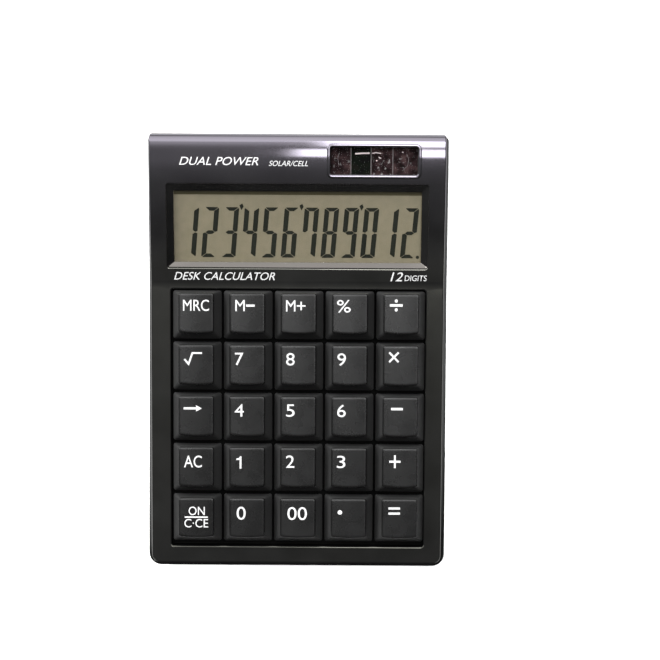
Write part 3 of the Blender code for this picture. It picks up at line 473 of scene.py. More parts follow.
def clear_plastic(name):
    """Clear window: mostly see-through, with a full reflection and faint wiping marks."""
    made, tree, shader = new_material(name)
    shader.inputs["Base Color"].default_value = (0.02, 0.02, 0.02, 1)
    shader.inputs["Alpha"].default_value = 0.045
    shader.inputs["IOR"].default_value = 1.3
    marks = noise(tree, 90.0, 8.0, (1.0, 0.2, 1.0))
    tree.links.new(scaled(tree, marks, 0.02, 0.05), shader.inputs["Roughness"])
    return made


def metal(name, dark, light, roughness):
    """Brushed metal between two close colours."""
    made, tree, shader = new_material(name)
    streaks = noise(tree, 700.0, 4.0, (1.0, 0.15, 1.0))
    tree.links.new(ramp(tree, streaks, (0.3, dark), (0.7, light)), shader.inputs["Base Color"])
    tree.links.new(scaled(tree, streaks, roughness * 0.8, roughness * 1.2), shader.inputs["Roughness"])
    shader.inputs["Metallic"].default_value = 1.0
    bump(tree, shader, streaks, 0.15, 0.02 * MM)
    return made


def lcd_material():
    """Reflective liquid crystal panel: warm grey-green with a soft mottled backing."""
    made, tree, shader = new_material("lcd_panel")
    mottle = noise(tree, 350.0, 5.0)
    backing = ramp(tree, mottle, (0.35, (0.083, 0.072, 0.041, 1)), (0.65, (0.095, 0.081, 0.048, 1)))
    tree.links.new(backing, shader.inputs["Base Color"])
    tree.links.new(scaled(tree, noise(tree, 900.0), 0.35, 0.5), shader.inputs["Roughness"])
    bump(tree, shader, noise(tree, 4000.0), 0.1, 0.01 * MM)
    return made


def solar_material(name, low, middle, high, glint):
    """Amorphous silicon film: blotches between three colours with a scatter of painted glints."""
    made, tree, shader = new_material(name)
    film = ramp(tree, noise(tree, 330.0, 2.5), (0.38, low), (0.52, middle), (0.68, high))
    # pale dots added to the film's colour: painted glints
    painted_glints = ramp(tree, noise(tree, 900.0, 1.0), (0.64, grey(0.0)), (0.72, grey(glint)))
    added = tree.nodes.new("ShaderNodeVectorMath")
    tree.links.new(film, added.inputs[0])
    tree.links.new(painted_glints, added.inputs[1])
    tree.links.new(added.outputs["Vector"], shader.inputs["Base Color"])
    tree.links.new(scaled(tree, noise(tree, 600.0), 0.5, 0.7), shader.inputs["Roughness"])
    shader.inputs["Specular IOR Level"].default_value = 0.0
    bump(tree, shader, noise(tree, 500.0, 2.0), 0.05, 0.01 * MM)
    return made


def board_material():
    """Green solder mask with fine tracks."""
    made, tree, shader = new_material("solder_mask")
    place = tree.nodes.new("ShaderNodeTexCoord").outputs["Object"]
    tracks = node(tree, "ShaderNodeTexWave", Vector=place, Scale=260.0, Distortion=3.0).outputs["Fac"]
    mask = ramp(tree, tracks, (0.6, (0.008, 0.07, 0.02, 1)), (0.75, (0.02, 0.16, 0.05, 1)))
    tree.links.new(mask, shader.inputs["Base Color"])
    tree.links.new(scaled(tree, noise(tree, 500.0), 0.25, 0.4), shader.inputs["Roughness"])
    bump(tree, shader, tracks, 0.3, 0.03 * MM)
    return made


LCD_INK = (0.003, 0.004, 0.002, 1), (0.005, 0.006, 0.003, 1)
# dark olive of the painted shadow along the LCD's back edge
LCD_SHADOW_COLOURS = (0.022, 0.019, 0.007, 1), (0.027, 0.023, 0.009, 1)
BROWN_FILM = (0.004, 0.002, 0.002, 1), (0.012, 0.0065, 0.007, 1), (0.032, 0.019, 0.019, 1)
GREEN_FILM = (0.001, 0.001, 0.001, 1), (0.001, 0.002, 0.001, 1), (0.003, 0.003, 0.002, 1)
PLASTICS = {
    # short name: (material name, dark, light, roughness, grain strength, and any other settings)
    "matte": ("case_matte", grey(0.006), grey(0.009), 0.45, 0.5, 0.03, 3500.0, 1.4),
    "key": ("key_satin", grey(0.003), grey(0.004), 0.28, 0.2, 0.01, 5000.0, 1.24),
    # lighter copy of the key plastic for the keycaps' walls: painted light on the slopes
    "key_wall_lit": ("key_side_satin", grey(0.019), grey(0.022), 0.4, 0.2, 0.01, 5000.0, 1.2),
    # near-black with hardly any reflection, darker than the case: painted shade in the key well
    "shade_black": ("guide_plate_black", grey(0.001), grey(0.002), 0.8, 0.2, 0.02, 2500.0, 1.05),
    "ink": ("white_ink", grey(0.36), grey(0.4), 0.45, 0.15, 0.01, 6000.0),
    "segment": ("lcd_segment", *LCD_INK, 0.4, 0.05, 0.01, 2500.0, 1.2),
    # pale marks on the solar film that stand for glints: painted highlights
    "pale_film": ("pale_film", (0.32, 0.26, 0.27, 1), (0.6, 0.52, 0.53, 1), 0.5, 0.1),
    "solar_line": ("solar_separator", (0.07, 0.06, 0.062, 1), (0.13, 0.11, 0.115, 1), 0.5, 0.1),
    # painted shadow strip along the LCD's back edge
    "lcd_border": ("lcd_border", *LCD_SHADOW_COLOURS, 0.5, 0.1, 0.01, 2500.0, 1.2),
    "rubber": ("foot_rubber", grey(0.012), grey(0.02), 0.8, 0.8, 0.05),
    "silicone": ("dome_silicone", grey(0.4), grey(0.48), 0.5, 0.3, 0.02),
    "epoxy": ("chip_epoxy", grey(0.006), grey(0.012), 0.25, 0.3, 0.05, 400.0),
    "sleeve": ("capacitor_sleeve", (0.01, 0.015, 0.06, 1), (0.015, 0.02, 0.08, 1), 0.35, 0.2, 0.02),
    "flex": ("flex_film", (0.16, 0.08, 0.02, 1), (0.2, 0.11, 0.03, 1), 0.3, 0.1),
    "wire_red": ("wire_red", (0.4, 0.01, 0.01, 1), (0.5, 0.02, 0.015, 1), 0.4, 0.1),
    "wire_black": ("wire_black", grey(0.01), grey(0.016), 0.4, 0.1),
}


def make_materials():
    """Every finish, by its short name."""
    kit = {short: plastic(*settings) for short, settings in PLASTICS.items()}
    kit["gloss"] = side_gloss()
    kit["bezel"] = bezel_satin()
    kit["clear"] = clear_plastic("clear_acrylic")
    kit["lcd"] = lcd_material()
    kit["solar"] = solar_material("solar_brown", *BROWN_FILM, 0.05)
    kit["solar_dark"] = solar_material("solar_dark_green", *GREEN_FILM, 0.0)
    # brown film with more painted glints, for the third strip
    kit["solar_glint"] = solar_material("solar_brown_painted_glints", *BROWN_FILM, 0.1)
    kit["board"] = board_material()
    kit["steel"] = metal("screw_steel", (0.42, 0.42, 0.41, 1), (0.55, 0.55, 0.53, 1), 0.32)
    kit["nickel"] = metal("nickel", (0.5, 0.48, 0.43, 1), (0.62, 0.6, 0.55, 1), 0.22)
    return kit


# ======== upper housing
def shell_row(bm, side, front, back, height_rule, stops):
    """Row round the case, inset from its outline."""
    plan = outline(
        *(-HALF_WIDTH + side, HALF_WIDTH - side, FRONT_Y + front, BACK_Y - back),
        max(FRONT_CORNER_RADIUS - front, SMALLEST_RADIUS),
        max(BACK_CORNER_RADIUS - back, SMALLEST_RADIUS),
        *(6, stops, 20),
    )
    return [bm.verts.new((x, y, height_rule(y))) for x, y in plan]


def hole_rows(bm, low, high, profile, radius, stops=()):
    """Rows down an opening. The profile has (side inset, front inset, back inset, depth)."""
    rows = []
    for side, front, back, depth in profile:
        rounding = max(radius - side, 0.25 * MM)
        plan = outline(
            low[0] + side, high[0] - side, low[1] + front, high[1] - back, rounding, rounding, 6, stops, 12
        )
        rows.append([bm.verts.new(on_case(x, y, depth)) for x, y in plan])
    return rows


def well_profile():
    """Rounded lip, a wall with a ledge that closes the gap in front of the keys, and a skirt."""
    edge = [(WELL_EDGE * (s - 1), WELL_EDGE * (1 - c)) for s, c in quarter(6)]
    steps = [(inset, inset, inset, depth) for inset, depth in edge]
    ledge_top = WELL_SKIRT_END - 0.2 * MM
    steps += [(0.0, front, 0.0, ledge_top) for front in (0.0, WELL_LEDGE)]
    steps.append((0.0, WELL_LEDGE, 0.0, WELL_SKIRT_END))
    skirt = [(-WELL_SKIRT, WELL_SKIRT_END), (-WELL_SKIRT, TOP_WALL)]
    return steps + [(inset, inset, inset, depth) for inset, depth in skirt]


def display_profile():
    """Rounded lip, a fine groove, then the satin bevel down to the window."""
    edge = [(DISPLAY_EDGE * (s - 1), DISPLAY_EDGE * (1 - c)) for s, c in quarter(5)]
    rows = [(inset, inset, inset, depth) for inset, depth in edge]
    start_depth = 0.42 * MM
    rows.append((0.0, 0.0, 0.0, GROOVE_DEPTH))
    rows.append((0.0, GROOVE_WIDTH, 0.0, GROOVE_DEPTH))
    rows.append((0.0, GROOVE_WIDTH, 0.0, start_depth + 0.06 * MM))
    start_front = GROOVE_WIDTH + 0.1 * MM
    for share in (0.0, 0.25, 0.5, 0.75, 0.97, 1.0):
        front = start_front + (BEVEL_FRONT - start_front) * share
        depth = start_depth + (BEVEL_DEPTH - start_depth) * share
        rows.append((BEVEL_SIDE * share, front, BEVEL_BACK * share, depth))
    rows.append((BEVEL_SIDE, BEVEL_FRONT, BEVEL_BACK, TOP_WALL))
    return rows


def solar_profile():
    """Small rounded bead round the solar window, standing a little proud of the case."""
    rows = []
    for k in range(9):
        turn = math.pi * k / 8
        inset = -SOLAR_BEAD * (1 + math.cos(turn)) / 2
        rows.append((inset, inset, inset, -SOLAR_BEAD_HEIGHT * math.sin(turn)))
    for depth in (0.25 * MM, TOP_WALL):
        rows.append((0.0, 0.0, 0.0, depth))
    return rows


def clear_of(point, boxes, margin):
    """True if a plan point stays a margin away from every box."""
    return not any(
        low[0] - margin < point[0] < high[0] + margin and low[1] - margin < point[1] < high[1] + margin
        for low, high in boxes
    )


def shell_levels():
    """Rows of the outside from under the top up to its edge: side, front and back inset, height rule."""
    levels = [
        (1.8 * WALL, 1.8 * WALL, 2.0 * MM, lambda y: case_height(y) - TOP_WALL),
        (WALL, WALL, 1.6 * MM, lambda y: parting_height(y) + PARTING_GAP),
        (0.12 * MM, 0.12 * MM, 0.12 * MM, lambda y: parting_height(y) + PARTING_GAP),
        (0.0, 0.0, 0.0, lambda y: parting_height(y) + PARTING_GAP + PARTING_CHAMFER),
    ]

    def side_height(share):
        return lambda y: parting_height(y) * (1 - share) + (case_height(y) - TOP_EDGE_DROP) * share

    def edge_height(share):
        return lambda y: case_height(y) - TOP_EDGE_DROP * (1 - share)

    for share in (0.1, 0.5, 0.9):
        inset = SIDE_DRAFT * share
        levels.append((inset, inset, BACK_DRAFT * share, side_height(share)))
    for s, c in quarter(6):
        inset = SIDE_DRAFT + TOP_EDGE_SIDE * (1 - c)
        levels.append((inset, inset, BACK_DRAFT + TOP_EDGE_BACK * (1 - c), edge_height(s)))
    return levels


def make_upper_housing(kit):
    """Outer skin with its three openings, filled between them on top and underneath."""
    bm = bmesh.new()
    rows_y = stations()
    rows = [shell_row(bm, *level, rows_y) for level in shell_levels()]
    skin_rows(bm, rows)

    well, display, solar = well_area(), display_area(), solar_area()
    display_stops = [y for y in rows_y if DISPLAY_FRONT_Y + 4 * MM < y < DISPLAY_BACK_Y - 3 * MM]
    solar_stops = [y for y in rows_y if SOLAR_FRONT_Y + 1.5 * MM < y < SOLAR_BACK_Y - 1.5 * MM]
    openings = [
        hole_rows(bm, *well, well_profile(), WELL_RADIUS),
        hole_rows(bm, *display, display_profile(), 0.8 * MM, display_stops),
        hole_rows(bm, *solar, solar_profile(), SOLAR_RADIUS, solar_stops),
    ]
    # each opening's glossy lip first, then the rows below it in their own finish, the key well's walls in
    # near-black painted shade
    for opening, lip, below in zip(openings, (7, 9, 11), (2, 1, 0)):
        skin_rows(bm, opening[:lip])
        skin_rows(bm, opening[lip - 1 :], below)

    # points of the top surface away from the openings, closer together behind the solar window
    grid_y = rows_y + [BACK_Y - inset * MM for inset in (2.4, 2.1, 1.8, 1.6, 1.4, 1.2, 1.05, 0.9)]
    back_edge = max(vert.co.y for vert in rows[-1])
    grid_x = sorted(vert.co.x for vert in rows[-1] if back_edge - vert.co.y < 0.001 * MM)
    near_solar = steps_between(solar[0][0] - 2 * MM, solar[1][0] + 2 * MM, 0.8 * MM)
    behind_solar = [x for x in grid_x if not near_solar[0] - MM < x < near_solar[-1] + MM] + near_solar
    for is_top, depth, margin, back_margin in ((True, 0.0, 1.3, 0.8), (False, TOP_WALL, 2.5, 2.4)):
        inner = [
            bm.verts.new((x, y, case_height(y) - depth))
            for y in grid_y
            for x in (behind_solar if y > solar[1][1] else grid_x)
            if y < BACK_Y - back_margin * MM and clear_of((x, y), (well, display, solar), margin * MM)
        ]
        level = -1 if is_top else 0
        holes = [opening[0 if is_top else -1] for opening in openings]
        fill_region(bm, rows[level], holes, inner, is_top)
    finishes = [kit["gloss"], kit["bezel"], kit["shade_black"]]
    case = finished("upper_case", bm, finishes, CASE, ["upper_housing"])
    follow_case_curve(case.data)


def follow_case_curve(mesh):
    """Gives every corner on the open top surface the exact slope of the case there."""
    slopes = {}
    for vert in mesh.vertices:
        x, y, z = vert.co
        on_top = abs(z - case_height(y)) < 0.002 * MM and BACK_Y - y > 0.7 * MM
        if on_top and clear_of((x, y), (display_area(), solar_area()), 0.0):
            tilt = case_tilt(y)
            slopes[vert.index] = (0.0, -math.sin(tilt), math.cos(tilt))
    unchanged = (0.0, 0.0, 0.0)
    mesh.normals_split_custom_set([slopes.get(loop.vertex_index, unchanged) for loop in mesh.loops])


def well_area():
    return (WELL_LEFT_X, WELL_FRONT_Y), (WELL_RIGHT_X, WELL_BACK_Y)


def display_area():
    return (-DISPLAY_HALF_X, DISPLAY_FRONT_Y), (DISPLAY_HALF_X, DISPLAY_BACK_Y)


def solar_area():
    return (SOLAR_X - SOLAR_HALF_X, SOLAR_FRONT_Y), (SOLAR_X + SOLAR_HALF_X, SOLAR_BACK_Y)


# ======== keys
def key_height(x):
    """Height of the dished top above the keyboard plane."""
    return KEY_HEIGHT - KEY_DISH * max(0.0, 1 - (x / KEY_TOP_HALF_X) ** 2)


def key_row(bm, half_x, y_front, y_back, height_rule, radius, bow=0.0):
    """Row round a keycap, its front bowed out."""
    straight = y_back - y_front - 2 * radius
    stops = [y_front + radius + straight * k / 7 for k in range(1, 7)]
    row = []
    for x, y in outline(-half_x, half_x, y_front, y_back, radius, radius, 5, stops, 9):
        middle = max(0.0, 1 - (x / half_x) ** 2)
        towards_front = max(0.0, (y_back - y) / (y_back - y_front))
        row.append(bm.verts.new((x, y - bow * middle * towards_front**4, height_rule(x))))
    return row


def keycap():
    """Hollow cap with a stem under it, a bowed front wall and a dished top."""
    bm = bmesh.new()
    base, inner = KEY_BASE_HALF, KEY_BASE_HALF - KEY_WALL
    rim, wall_foot = base - KEY_CHAMFER, KEY_RIM + KEY_CHAMFER
    rows = []

    def add_row(half_x, y_front, y_back, height_rule, radius, bow=0.0):
        rows.append(key_row(bm, half_x, y_front, y_back, height_rule, radius, bow))

    for z in (STEM_END, KEY_CEILING):
        add_row(STEM_HALF, -STEM_HALF, STEM_HALF, lambda x, z=z: z, 0.4 * MM)
    ceiling_front, ceiling_back = KEY_TOP_FRONT + KEY_WALL, KEY_TOP_BACK - KEY_WALL
    add_row(KEY_TOP_HALF_X - KEY_WALL, ceiling_front, ceiling_back, lambda x: KEY_CEILING, 0.6 * MM)
    add_row(inner, -inner, inner, lambda x: KEY_RIM, 0.5 * MM)
    add_row(rim, -rim, rim, lambda x: KEY_RIM, 0.8 * MM)
    wall_steps = 6
    for k in range(wall_steps + 1):
        share = k / wall_steps
        top_share = share * (1 - KEY_EDGE / (KEY_HEIGHT - KEY_RIM))
        add_row(
            base + (KEY_TOP_HALF_X - base) * share,
            -base + (KEY_TOP_FRONT + base) * share,
            base + (KEY_TOP_BACK - base) * share,
            lambda x, s=top_share: wall_foot + (key_height(x) - wall_foot) * s,
            (0.9 - 0.1 * share) * MM,
            KEY_FRONT_BOW * share**2,
        )
    for s, c in quarter(5)[1:]:
        inset = KEY_EDGE * (1 - c)
        add_row(
            KEY_TOP_HALF_X - inset,
            KEY_TOP_FRONT + inset,
            KEY_TOP_BACK - inset,
            lambda x, s=s: key_height(x) - KEY_EDGE * (1 - s),
            0.8 * MM - inset * 0.6,
            KEY_FRONT_BOW,
        )
    bm.faces.new(reversed(rows[0]))
    first_wall, last_wall = 4, 5 + wall_steps
    skin_rows(bm, rows[: first_wall + 1])
    # walls in the lighter copy of the key plastic: painted light on the slopes
    skin_rows(bm, rows[first_wall : last_wall + 1], 1)
    skin_rows(bm, rows[last_wall:])
    middle = Vector((0, (KEY_TOP_FRONT + KEY_TOP_BACK) / 2, 0))
    last = rows[-1]
    edge = [vert.co.copy() for vert in last]
    for share in (0.93, 0.82, 0.68, 0.53, 0.38, 0.24, 0.1):
        places = [middle + (point - middle) * share for point in edge]
        ring = [bm.verts.new((place.x, place.y, key_height(place.x))) for place in places]
        skin(bm, last, ring)
        last = ring
    bm.faces.new(last)
    return bm


LEGENDS = {
    # key's name after key_: (text or symbol, left, top, width, height) in millimetres from the key's middle
    "mrc": ("MRC", -4.5, 5.8, 9.1, 3.95),
    "m_minus": ("M minus", -4.2, 5.8, 6.8, 3.95),
    "m_plus": ("M plus", -4.45, 5.8, 6.85, 3.95),
    "percent": ("%", -4.6, 6.0, 4.8, 4.4),
    "divide": ("divide", -4.1, 6.35, 4.5, 4.3),
    "sqrt": ("root", -4.3, 5.5, 6.4, 4.8),
    "7": ("7", -4.35, 5.4, 3.0, 4.4),
    "8": ("8", -4.35, 5.4, 3.0, 4.4),
    "9": ("9", -4.35, 5.4, 3.0, 4.4),
    "multiply": ("multiply", -4.35, 6.05, 3.7, 3.85),
    "backspace": ("arrow", -4.4, 4.9, 6.4, 2.2),
    "4": ("4", -4.4, 5.4, 3.2, 4.4),
    "5": ("5", -4.3, 5.4, 3.0, 4.4),
    "6": ("6", -4.3, 5.4, 3.0, 4.4),
    "minus": ("minus", -3.3, 4.4, 4.1, 0.85),
    "ac": ("AC", -4.3, 5.15, 6.3, 4.25),
    "1": ("one", -3.8, 5.0, 1.8, 4.4),
    "2": ("2", -4.3, 5.4, 3.0, 4.4),
    "3": ("3", -4.3, 5.4, 3.0, 4.4),
    "plus": ("plus", -3.8, 5.7, 4.0, 4.6),
    "on_clear": ("ON/C", -4.2, 5.05, 8.4, 7.5),
    "0": ("0", -3.7, 5.1, 3.2, 4.65),
    "00": ("00", -3.7, 5.1, 6.9, 4.65),
    "point": ("dot", -3.9, 4.1, 1.6, 1.6),
    "equals": ("equals", -3.9, 5.2, 4.1, 2.6),
}


def box_points(x_low, y_low, x_high, y_high):
    return [(x_low, y_low), (x_high, y_low), (x_high, y_high), (x_low, y_high)]


def disc_points(x, y, radius, sides=20):
    turn = 2 * math.pi / sides
    return [(x + radius * math.cos(turn * k), y + radius * math.sin(turn * k)) for k in range(sides)]


def stroke_points(path, width):
    """Outline of a mitred line of even width."""
    left, right = [], []
    path = [Vector(point) for point in path]
    for k, point in enumerate(path):
        ahead = (path[k + 1] - point).normalized() if k + 1 < len(path) else None
        behind = (point - path[k - 1]).normalized() if k else None
        along = ((ahead or behind) + (behind or ahead)).normalized()
        across = Vector((-along.y, along.x))
        reach = width / 2 / max(0.3, across.dot(Vector((-(ahead or behind).y, (ahead or behind).x))))
        left.append(tuple(point + across * reach))
        right.append(tuple(point - across * reach))
    return left + right[::-1]


def plus_points(size, width):
    """Plus sign: one arm end, then its quarter turns."""
    a, b = width / 2, size / 2
    points = [(a, a), (a, b), (-a, b)]
    for _ in range(3):
        points += [(-y, x) for x, y in points[-3:]]
    return points


def symbol_polygons(symbol):
    """Polygons of a drawn symbol in millimetres, scaled afterwards to its box."""
    if symbol == "one":
        stem = [(1.2, 0), (1.9, 0), (1.9, 4.8), (1.4, 4.8), (1.0, 4.2)]
        return [stem + [(0, 3.9), (0, 3.35), (1.2, 3.45)]]
    if symbol == "minus":
        return [box_points(0, 0, 4.1, 0.85)]
    if symbol == "equals":
        return [box_points(0, 0, 4.3, 0.85), box_points(0, 2.05, 4.3, 2.9)]
    if symbol == "plus":
        return [plus_points(4.6, 0.75)]
    if symbol == "multiply":
        return [[(x - y, x + y) for x, y in plus_points(5.0, 0.7)]]
    if symbol == "divide":
        return [box_points(-2.35, -0.4, 2.35, 0.4), disc_points(0, 1.45, 0.55), disc_points(0, -1.45, 0.55)]
    if symbol == "dot":
        return [disc_points(0, 0, 0.85)]
    if symbol == "root":
        return [stroke_points([(0, 2.2), (1.5, 0.4), (2.9, 4.4), (6.4, 4.4)], 0.62)]
    if symbol == "arrow":
        return [box_points(0, 0.72, 5.0, 1.48), [(4.4, 0), (6.4, 1.1), (4.4, 2.2)]]
    return []


def text_mesh(body, shear=0.0):
    """Flat filled mesh of some text, in letter units."""
    curve = bpy.data.curves.new("letters", "FONT")
    curve.body = body
    curve.shear = shear
    curve.resolution_u = 6
    letters = bpy.data.objects.new("letters", curve)
    bpy.context.scene.collection.objects.link(letters)
    bpy.context.view_layer.update()
    mesh = bpy.data.meshes.new_from_object(letters.evaluated_get(bpy.context.evaluated_depsgraph_get()))
    bm = bmesh.new()
    bm.from_mesh(mesh)
    bpy.data.objects.remove(letters)
    bpy.data.curves.remove(curve)
    bpy.data.meshes.remove(mesh)
    return bm


def polygons_mesh(polygons):
    """Flat mesh with one face per polygon."""
    bm = bmesh.new()
    for polygon in polygons:
        bm.faces.new([bm.verts.new((x, y, 0)) for x, y in polygon])
    return bm


def fit_flat(bm, left, top, width, height):
    """Scales a flat mesh into a box given in millimetres."""
    xs = [vert.co.x for vert in bm.verts]
    ys = [vert.co.y for vert in bm.verts]
    for vert in bm.verts:
        vert.co.x = (left + width * (vert.co.x - min(xs)) / (max(xs) - min(xs))) * MM
        vert.co.y = (top - height + height * (vert.co.y - min(ys)) / (max(ys) - min(ys))) * MM
        vert.co.z = 0.0


def merged(meshes):
    """One bmesh of several."""
    whole = bmesh.new()
    for bm in meshes:
        part = bpy.data.meshes.new("part")
        bm.to_mesh(part)
        bm.free()
        whole.from_mesh(part)
        bpy.data.meshes.remove(part)
    return whole


def thicken(bm, surface):
    """Gives flat ink its thickness and lays it on a surface, a height rule of x and y."""
    bmesh.ops.remove_doubles(bm, verts=bm.verts, dist=1e-7)
    low, high = min(vert.co.x for vert in bm.verts), max(vert.co.x for vert in bm.verts)
    for place in steps_between(low, high, 0.6 * MM)[1:-1]:
        geometry = list(bm.verts) + list(bm.edges) + list(bm.faces)
        bmesh.ops.bisect_plane(bm, geom=geometry, dist=1e-8, plane_co=(place, 0, 0), plane_no=(1, 0, 0))
    made = bmesh.ops.extrude_face_region(bm, geom=list(bm.faces))
    raised = {item for item in made["geom"] if isinstance(item, bmesh.types.BMVert)}
    for vert in bm.verts:
        vert.co.z = surface(vert.co.x, vert.co.y) + (INK_THICKNESS if vert in raised else -INK_SINK)


def legend_flat(text, left, top, width, height):
    """Flat mesh of one key's legend, in its place on the key."""
    if text == "ON/C":
        line = height * 0.41
        above = text_mesh("ON")
        fit_flat(above, left + 1.5, top, 5.7, line)
        bar = polygons_mesh([box_points(0, 0, 1, 1)])
        fit_flat(bar, left + 0.1, top - height * 0.47, width - 0.2, 0.5)
        below = text_mesh("C\u00b7CE")
        fit_flat(below, left, top - height + line, width, line)
        return merged([above, bar, below])
    if text in ("M minus", "M plus"):
        letter = text_mesh("M")
        fit_flat(letter, left, top, 3.3, height)
        sign = polygons_mesh(symbol_polygons(text[2:]))
        tall = 0.75 if text == "M minus" else 3.0
        fit_flat(sign, left + 3.75, top - (height - tall) / 2, width - 3.75, tall)
        return merged([letter, sign])
    polygons = symbol_polygons(text)
    bm = polygons_mesh(polygons) if polygons else text_mesh(text)
    fit_flat(bm, left, top, width, height)
    return bm


def make_keys(kit):
    """Keycap and legend of every key, each riding on its own key's body."""
    cap = keycap()
    template = bpy.data.meshes.new("keycap_template")
    cap.to_mesh(template)
    cap.free()
    for index, (name, legend) in enumerate(LEGENDS.items()):
        node_name = f"key_{name}"
        row, column = divmod(index, 5)
        offset = (KEYS_X + (column - 2) * KEY_PITCH_X, KEYS_Y + (2 - row) * KEY_PITCH_Y, 0)
        place = KEYBOARD @ Matrix.Translation(offset)
        bm = bmesh.new()
        bm.from_mesh(template)
        # tops in the key plastic, walls in its lighter copy, painted light
        finishes = [kit["key"], kit["key_wall_lit"]]
        finished(f"keycap_{name}", bm, finishes, node_name, [node_name], place, smooth=50.0)
        ink = legend_flat(*legend)
        thicken(ink, lambda x, y: key_height(x))
        finished(f"legend_{name}", ink, [kit["ink"]], node_name, (), place)
    bpy.data.meshes.remove(template)


# ======== display
DIGIT_WIDTH = 5.1
DIGIT_HEIGHT = 17.9
DIGIT_SLANT = math.tan(math.radians(4.8))
DIGIT_PITCH = 7.03
BAR_WIDTH = 1.7
BAR_HEIGHT = 1.3
BAR_GAP = 0.09
BAR_CORNER = 0.45
FIRST_DIGIT_X = -41.2
DIGITS_Y = -11.9
SEGMENTS_OF = {
    "0": "abcdef",
    "1": "bc",
    "2": "abged",
    "3": "abgcd",
    "4": "fgbc",
    "5": "afgcd",
    "6": "afgedc",
    "7": "abcf",
    "8": "abcdefg",
    "9": "abcdfg",
}


def segment_polygons():
    """Mitred bars of a seven-segment digit, named a to g in the usual order."""
    w, h, m = DIGIT_WIDTH, DIGIT_HEIGHT, DIGIT_HEIGHT / 2
    t, u, g, k = BAR_WIDTH, BAR_HEIGHT, BAR_GAP, BAR_CORNER
    top = [(g + k, h), (w - g - k, h), (w - k, h - k / 2)]
    top += [(w - t - g, h - u), (t + g, h - u), (k, h - k / 2)]
    upper_right = [(w, h - k - g), (w - k / 2, h - k / 2 - g), (w - t, h - u - g)]
    upper_right += [(w - t, m + u / 2 + g), (w - t / 2, m + g), (w, m + u / 4 + g)]
    middle = [(t / 2 + g, m), (t + g, m + u / 2), (w - t - g, m + u / 2)]
    middle += [(w - t / 2 - g, m), (w - t - g, m - u / 2), (t + g, m - u / 2)]

    def mirrored(shape):
        return [(w - x, y) for x, y in shape]

    def flipped(shape):
        return [(x, h - y) for x, y in shape]

    return {
        "a": top,
        "b": upper_right,
        "c": flipped(upper_right),
        "d": flipped(top),
        "e": mirrored(flipped(upper_right)),
        "f": mirrored(upper_right),
        "g": middle,
    }


def make_display(kit):
    """Digits, thousands marks, decimal point, and a dark olive strip along the LCD's back edge under the
    window: a painted shadow of the bevel.
    """
    bars = segment_polygons()
    polygons = []
    for index, digit in enumerate("123456789012"):
        left = FIRST_DIGIT_X + DIGIT_PITCH * index
        for bar in SEGMENTS_OF[digit]:
            polygons.append([(left + x + y * DIGIT_SLANT, DIGITS_Y + y) for x, y in bars[bar]])
        if index in (2, 5, 8):
            x, y = left + DIGIT_PITCH + 0.3, DIGITS_Y + DIGIT_HEIGHT + 0.35
            polygons.append([(x, y - 1.4), (x + 0.8, y - 0.1), (x + 0.35, y + 1.0), (x - 0.7, y + 0.3)])
    x = FIRST_DIGIT_X + DIGIT_PITCH * 12 - 0.8
    polygons.append(disc_points(x, DIGITS_Y + 0.35, 0.6, 12))
    bm = polygons_mesh([[(x * MM, y * MM) for x, y in polygon] for polygon in polygons])
    thicken(bm, lambda x, y: FILM_RISE - GLASS_DEPTH)
    finished("lcd_segments", bm, [kit["segment"]], CASE, (), DISPLAY)
    # dark olive strip along the LCD's back edge: a painted shadow of the bevel
    half_x = DISPLAY_HALF_X - BEVEL_SIDE
    back = (CREST_Y - DISPLAY_FRONT_Y) / 2 - BEVEL_BACK
    shadow_strip = polygons_mesh([box_points(-half_x, back - LCD_SHADOW_WIDTH, half_x, back + 0.6 * MM)])
    thicken(shadow_strip, lambda x, y: FILM_RISE - GLASS_DEPTH)
    finished("lcd_border", shadow_strip, [kit["lcd_border"]], CASE, (), DISPLAY)


SOLAR_EDGES = (-1.0, -0.53, -0.07, 0.43, 1.0)
SOLAR_FINISHES = ("solar", "solar_dark", "solar_glint", "solar")
SOLAR_MARKS = {
    # name: (lines in millimetres from the window's middle, line width, finish)
    # a pale bar and pale dots on the film: painted glints
    "solar_painted_glint_bar": ([[(-6.6, 2.45), (-4.0, 2.65), (-1.6, 2.7)]], 0.5, "pale_film"),
    "solar_glints": (
        [
            [(-0.6, 2.6), (0.6, 2.9), (2.4, 2.6)],
            [(1.6, 1.3), (2.4, 0.9)],
            [(0.7, 0.2), (1.1, 0.0)],
            [(9.8, 3.1), (10.2, 3.0)],
        ],
        0.33,
        "pale_film",
    ),
    "solar_arcs": (
        [
            [(11.3, 2.6), (12.1, 0.6), (11.7, -1.6), (9.9, -3.4)],
            [(-12.2, 2.8), (-12.7, 0.8), (-12.3, -1.6)],
        ],
        0.1,
        "solar_line",
    ),
}


def add_film(name, polygons, height, finish):
    """Thin flat piece of the solar cell's face."""
    bm = polygons_mesh(polygons)
    thicken(bm, lambda x, y: height)
    finished(name, bm, [finish], CASE, (), SOLAR)


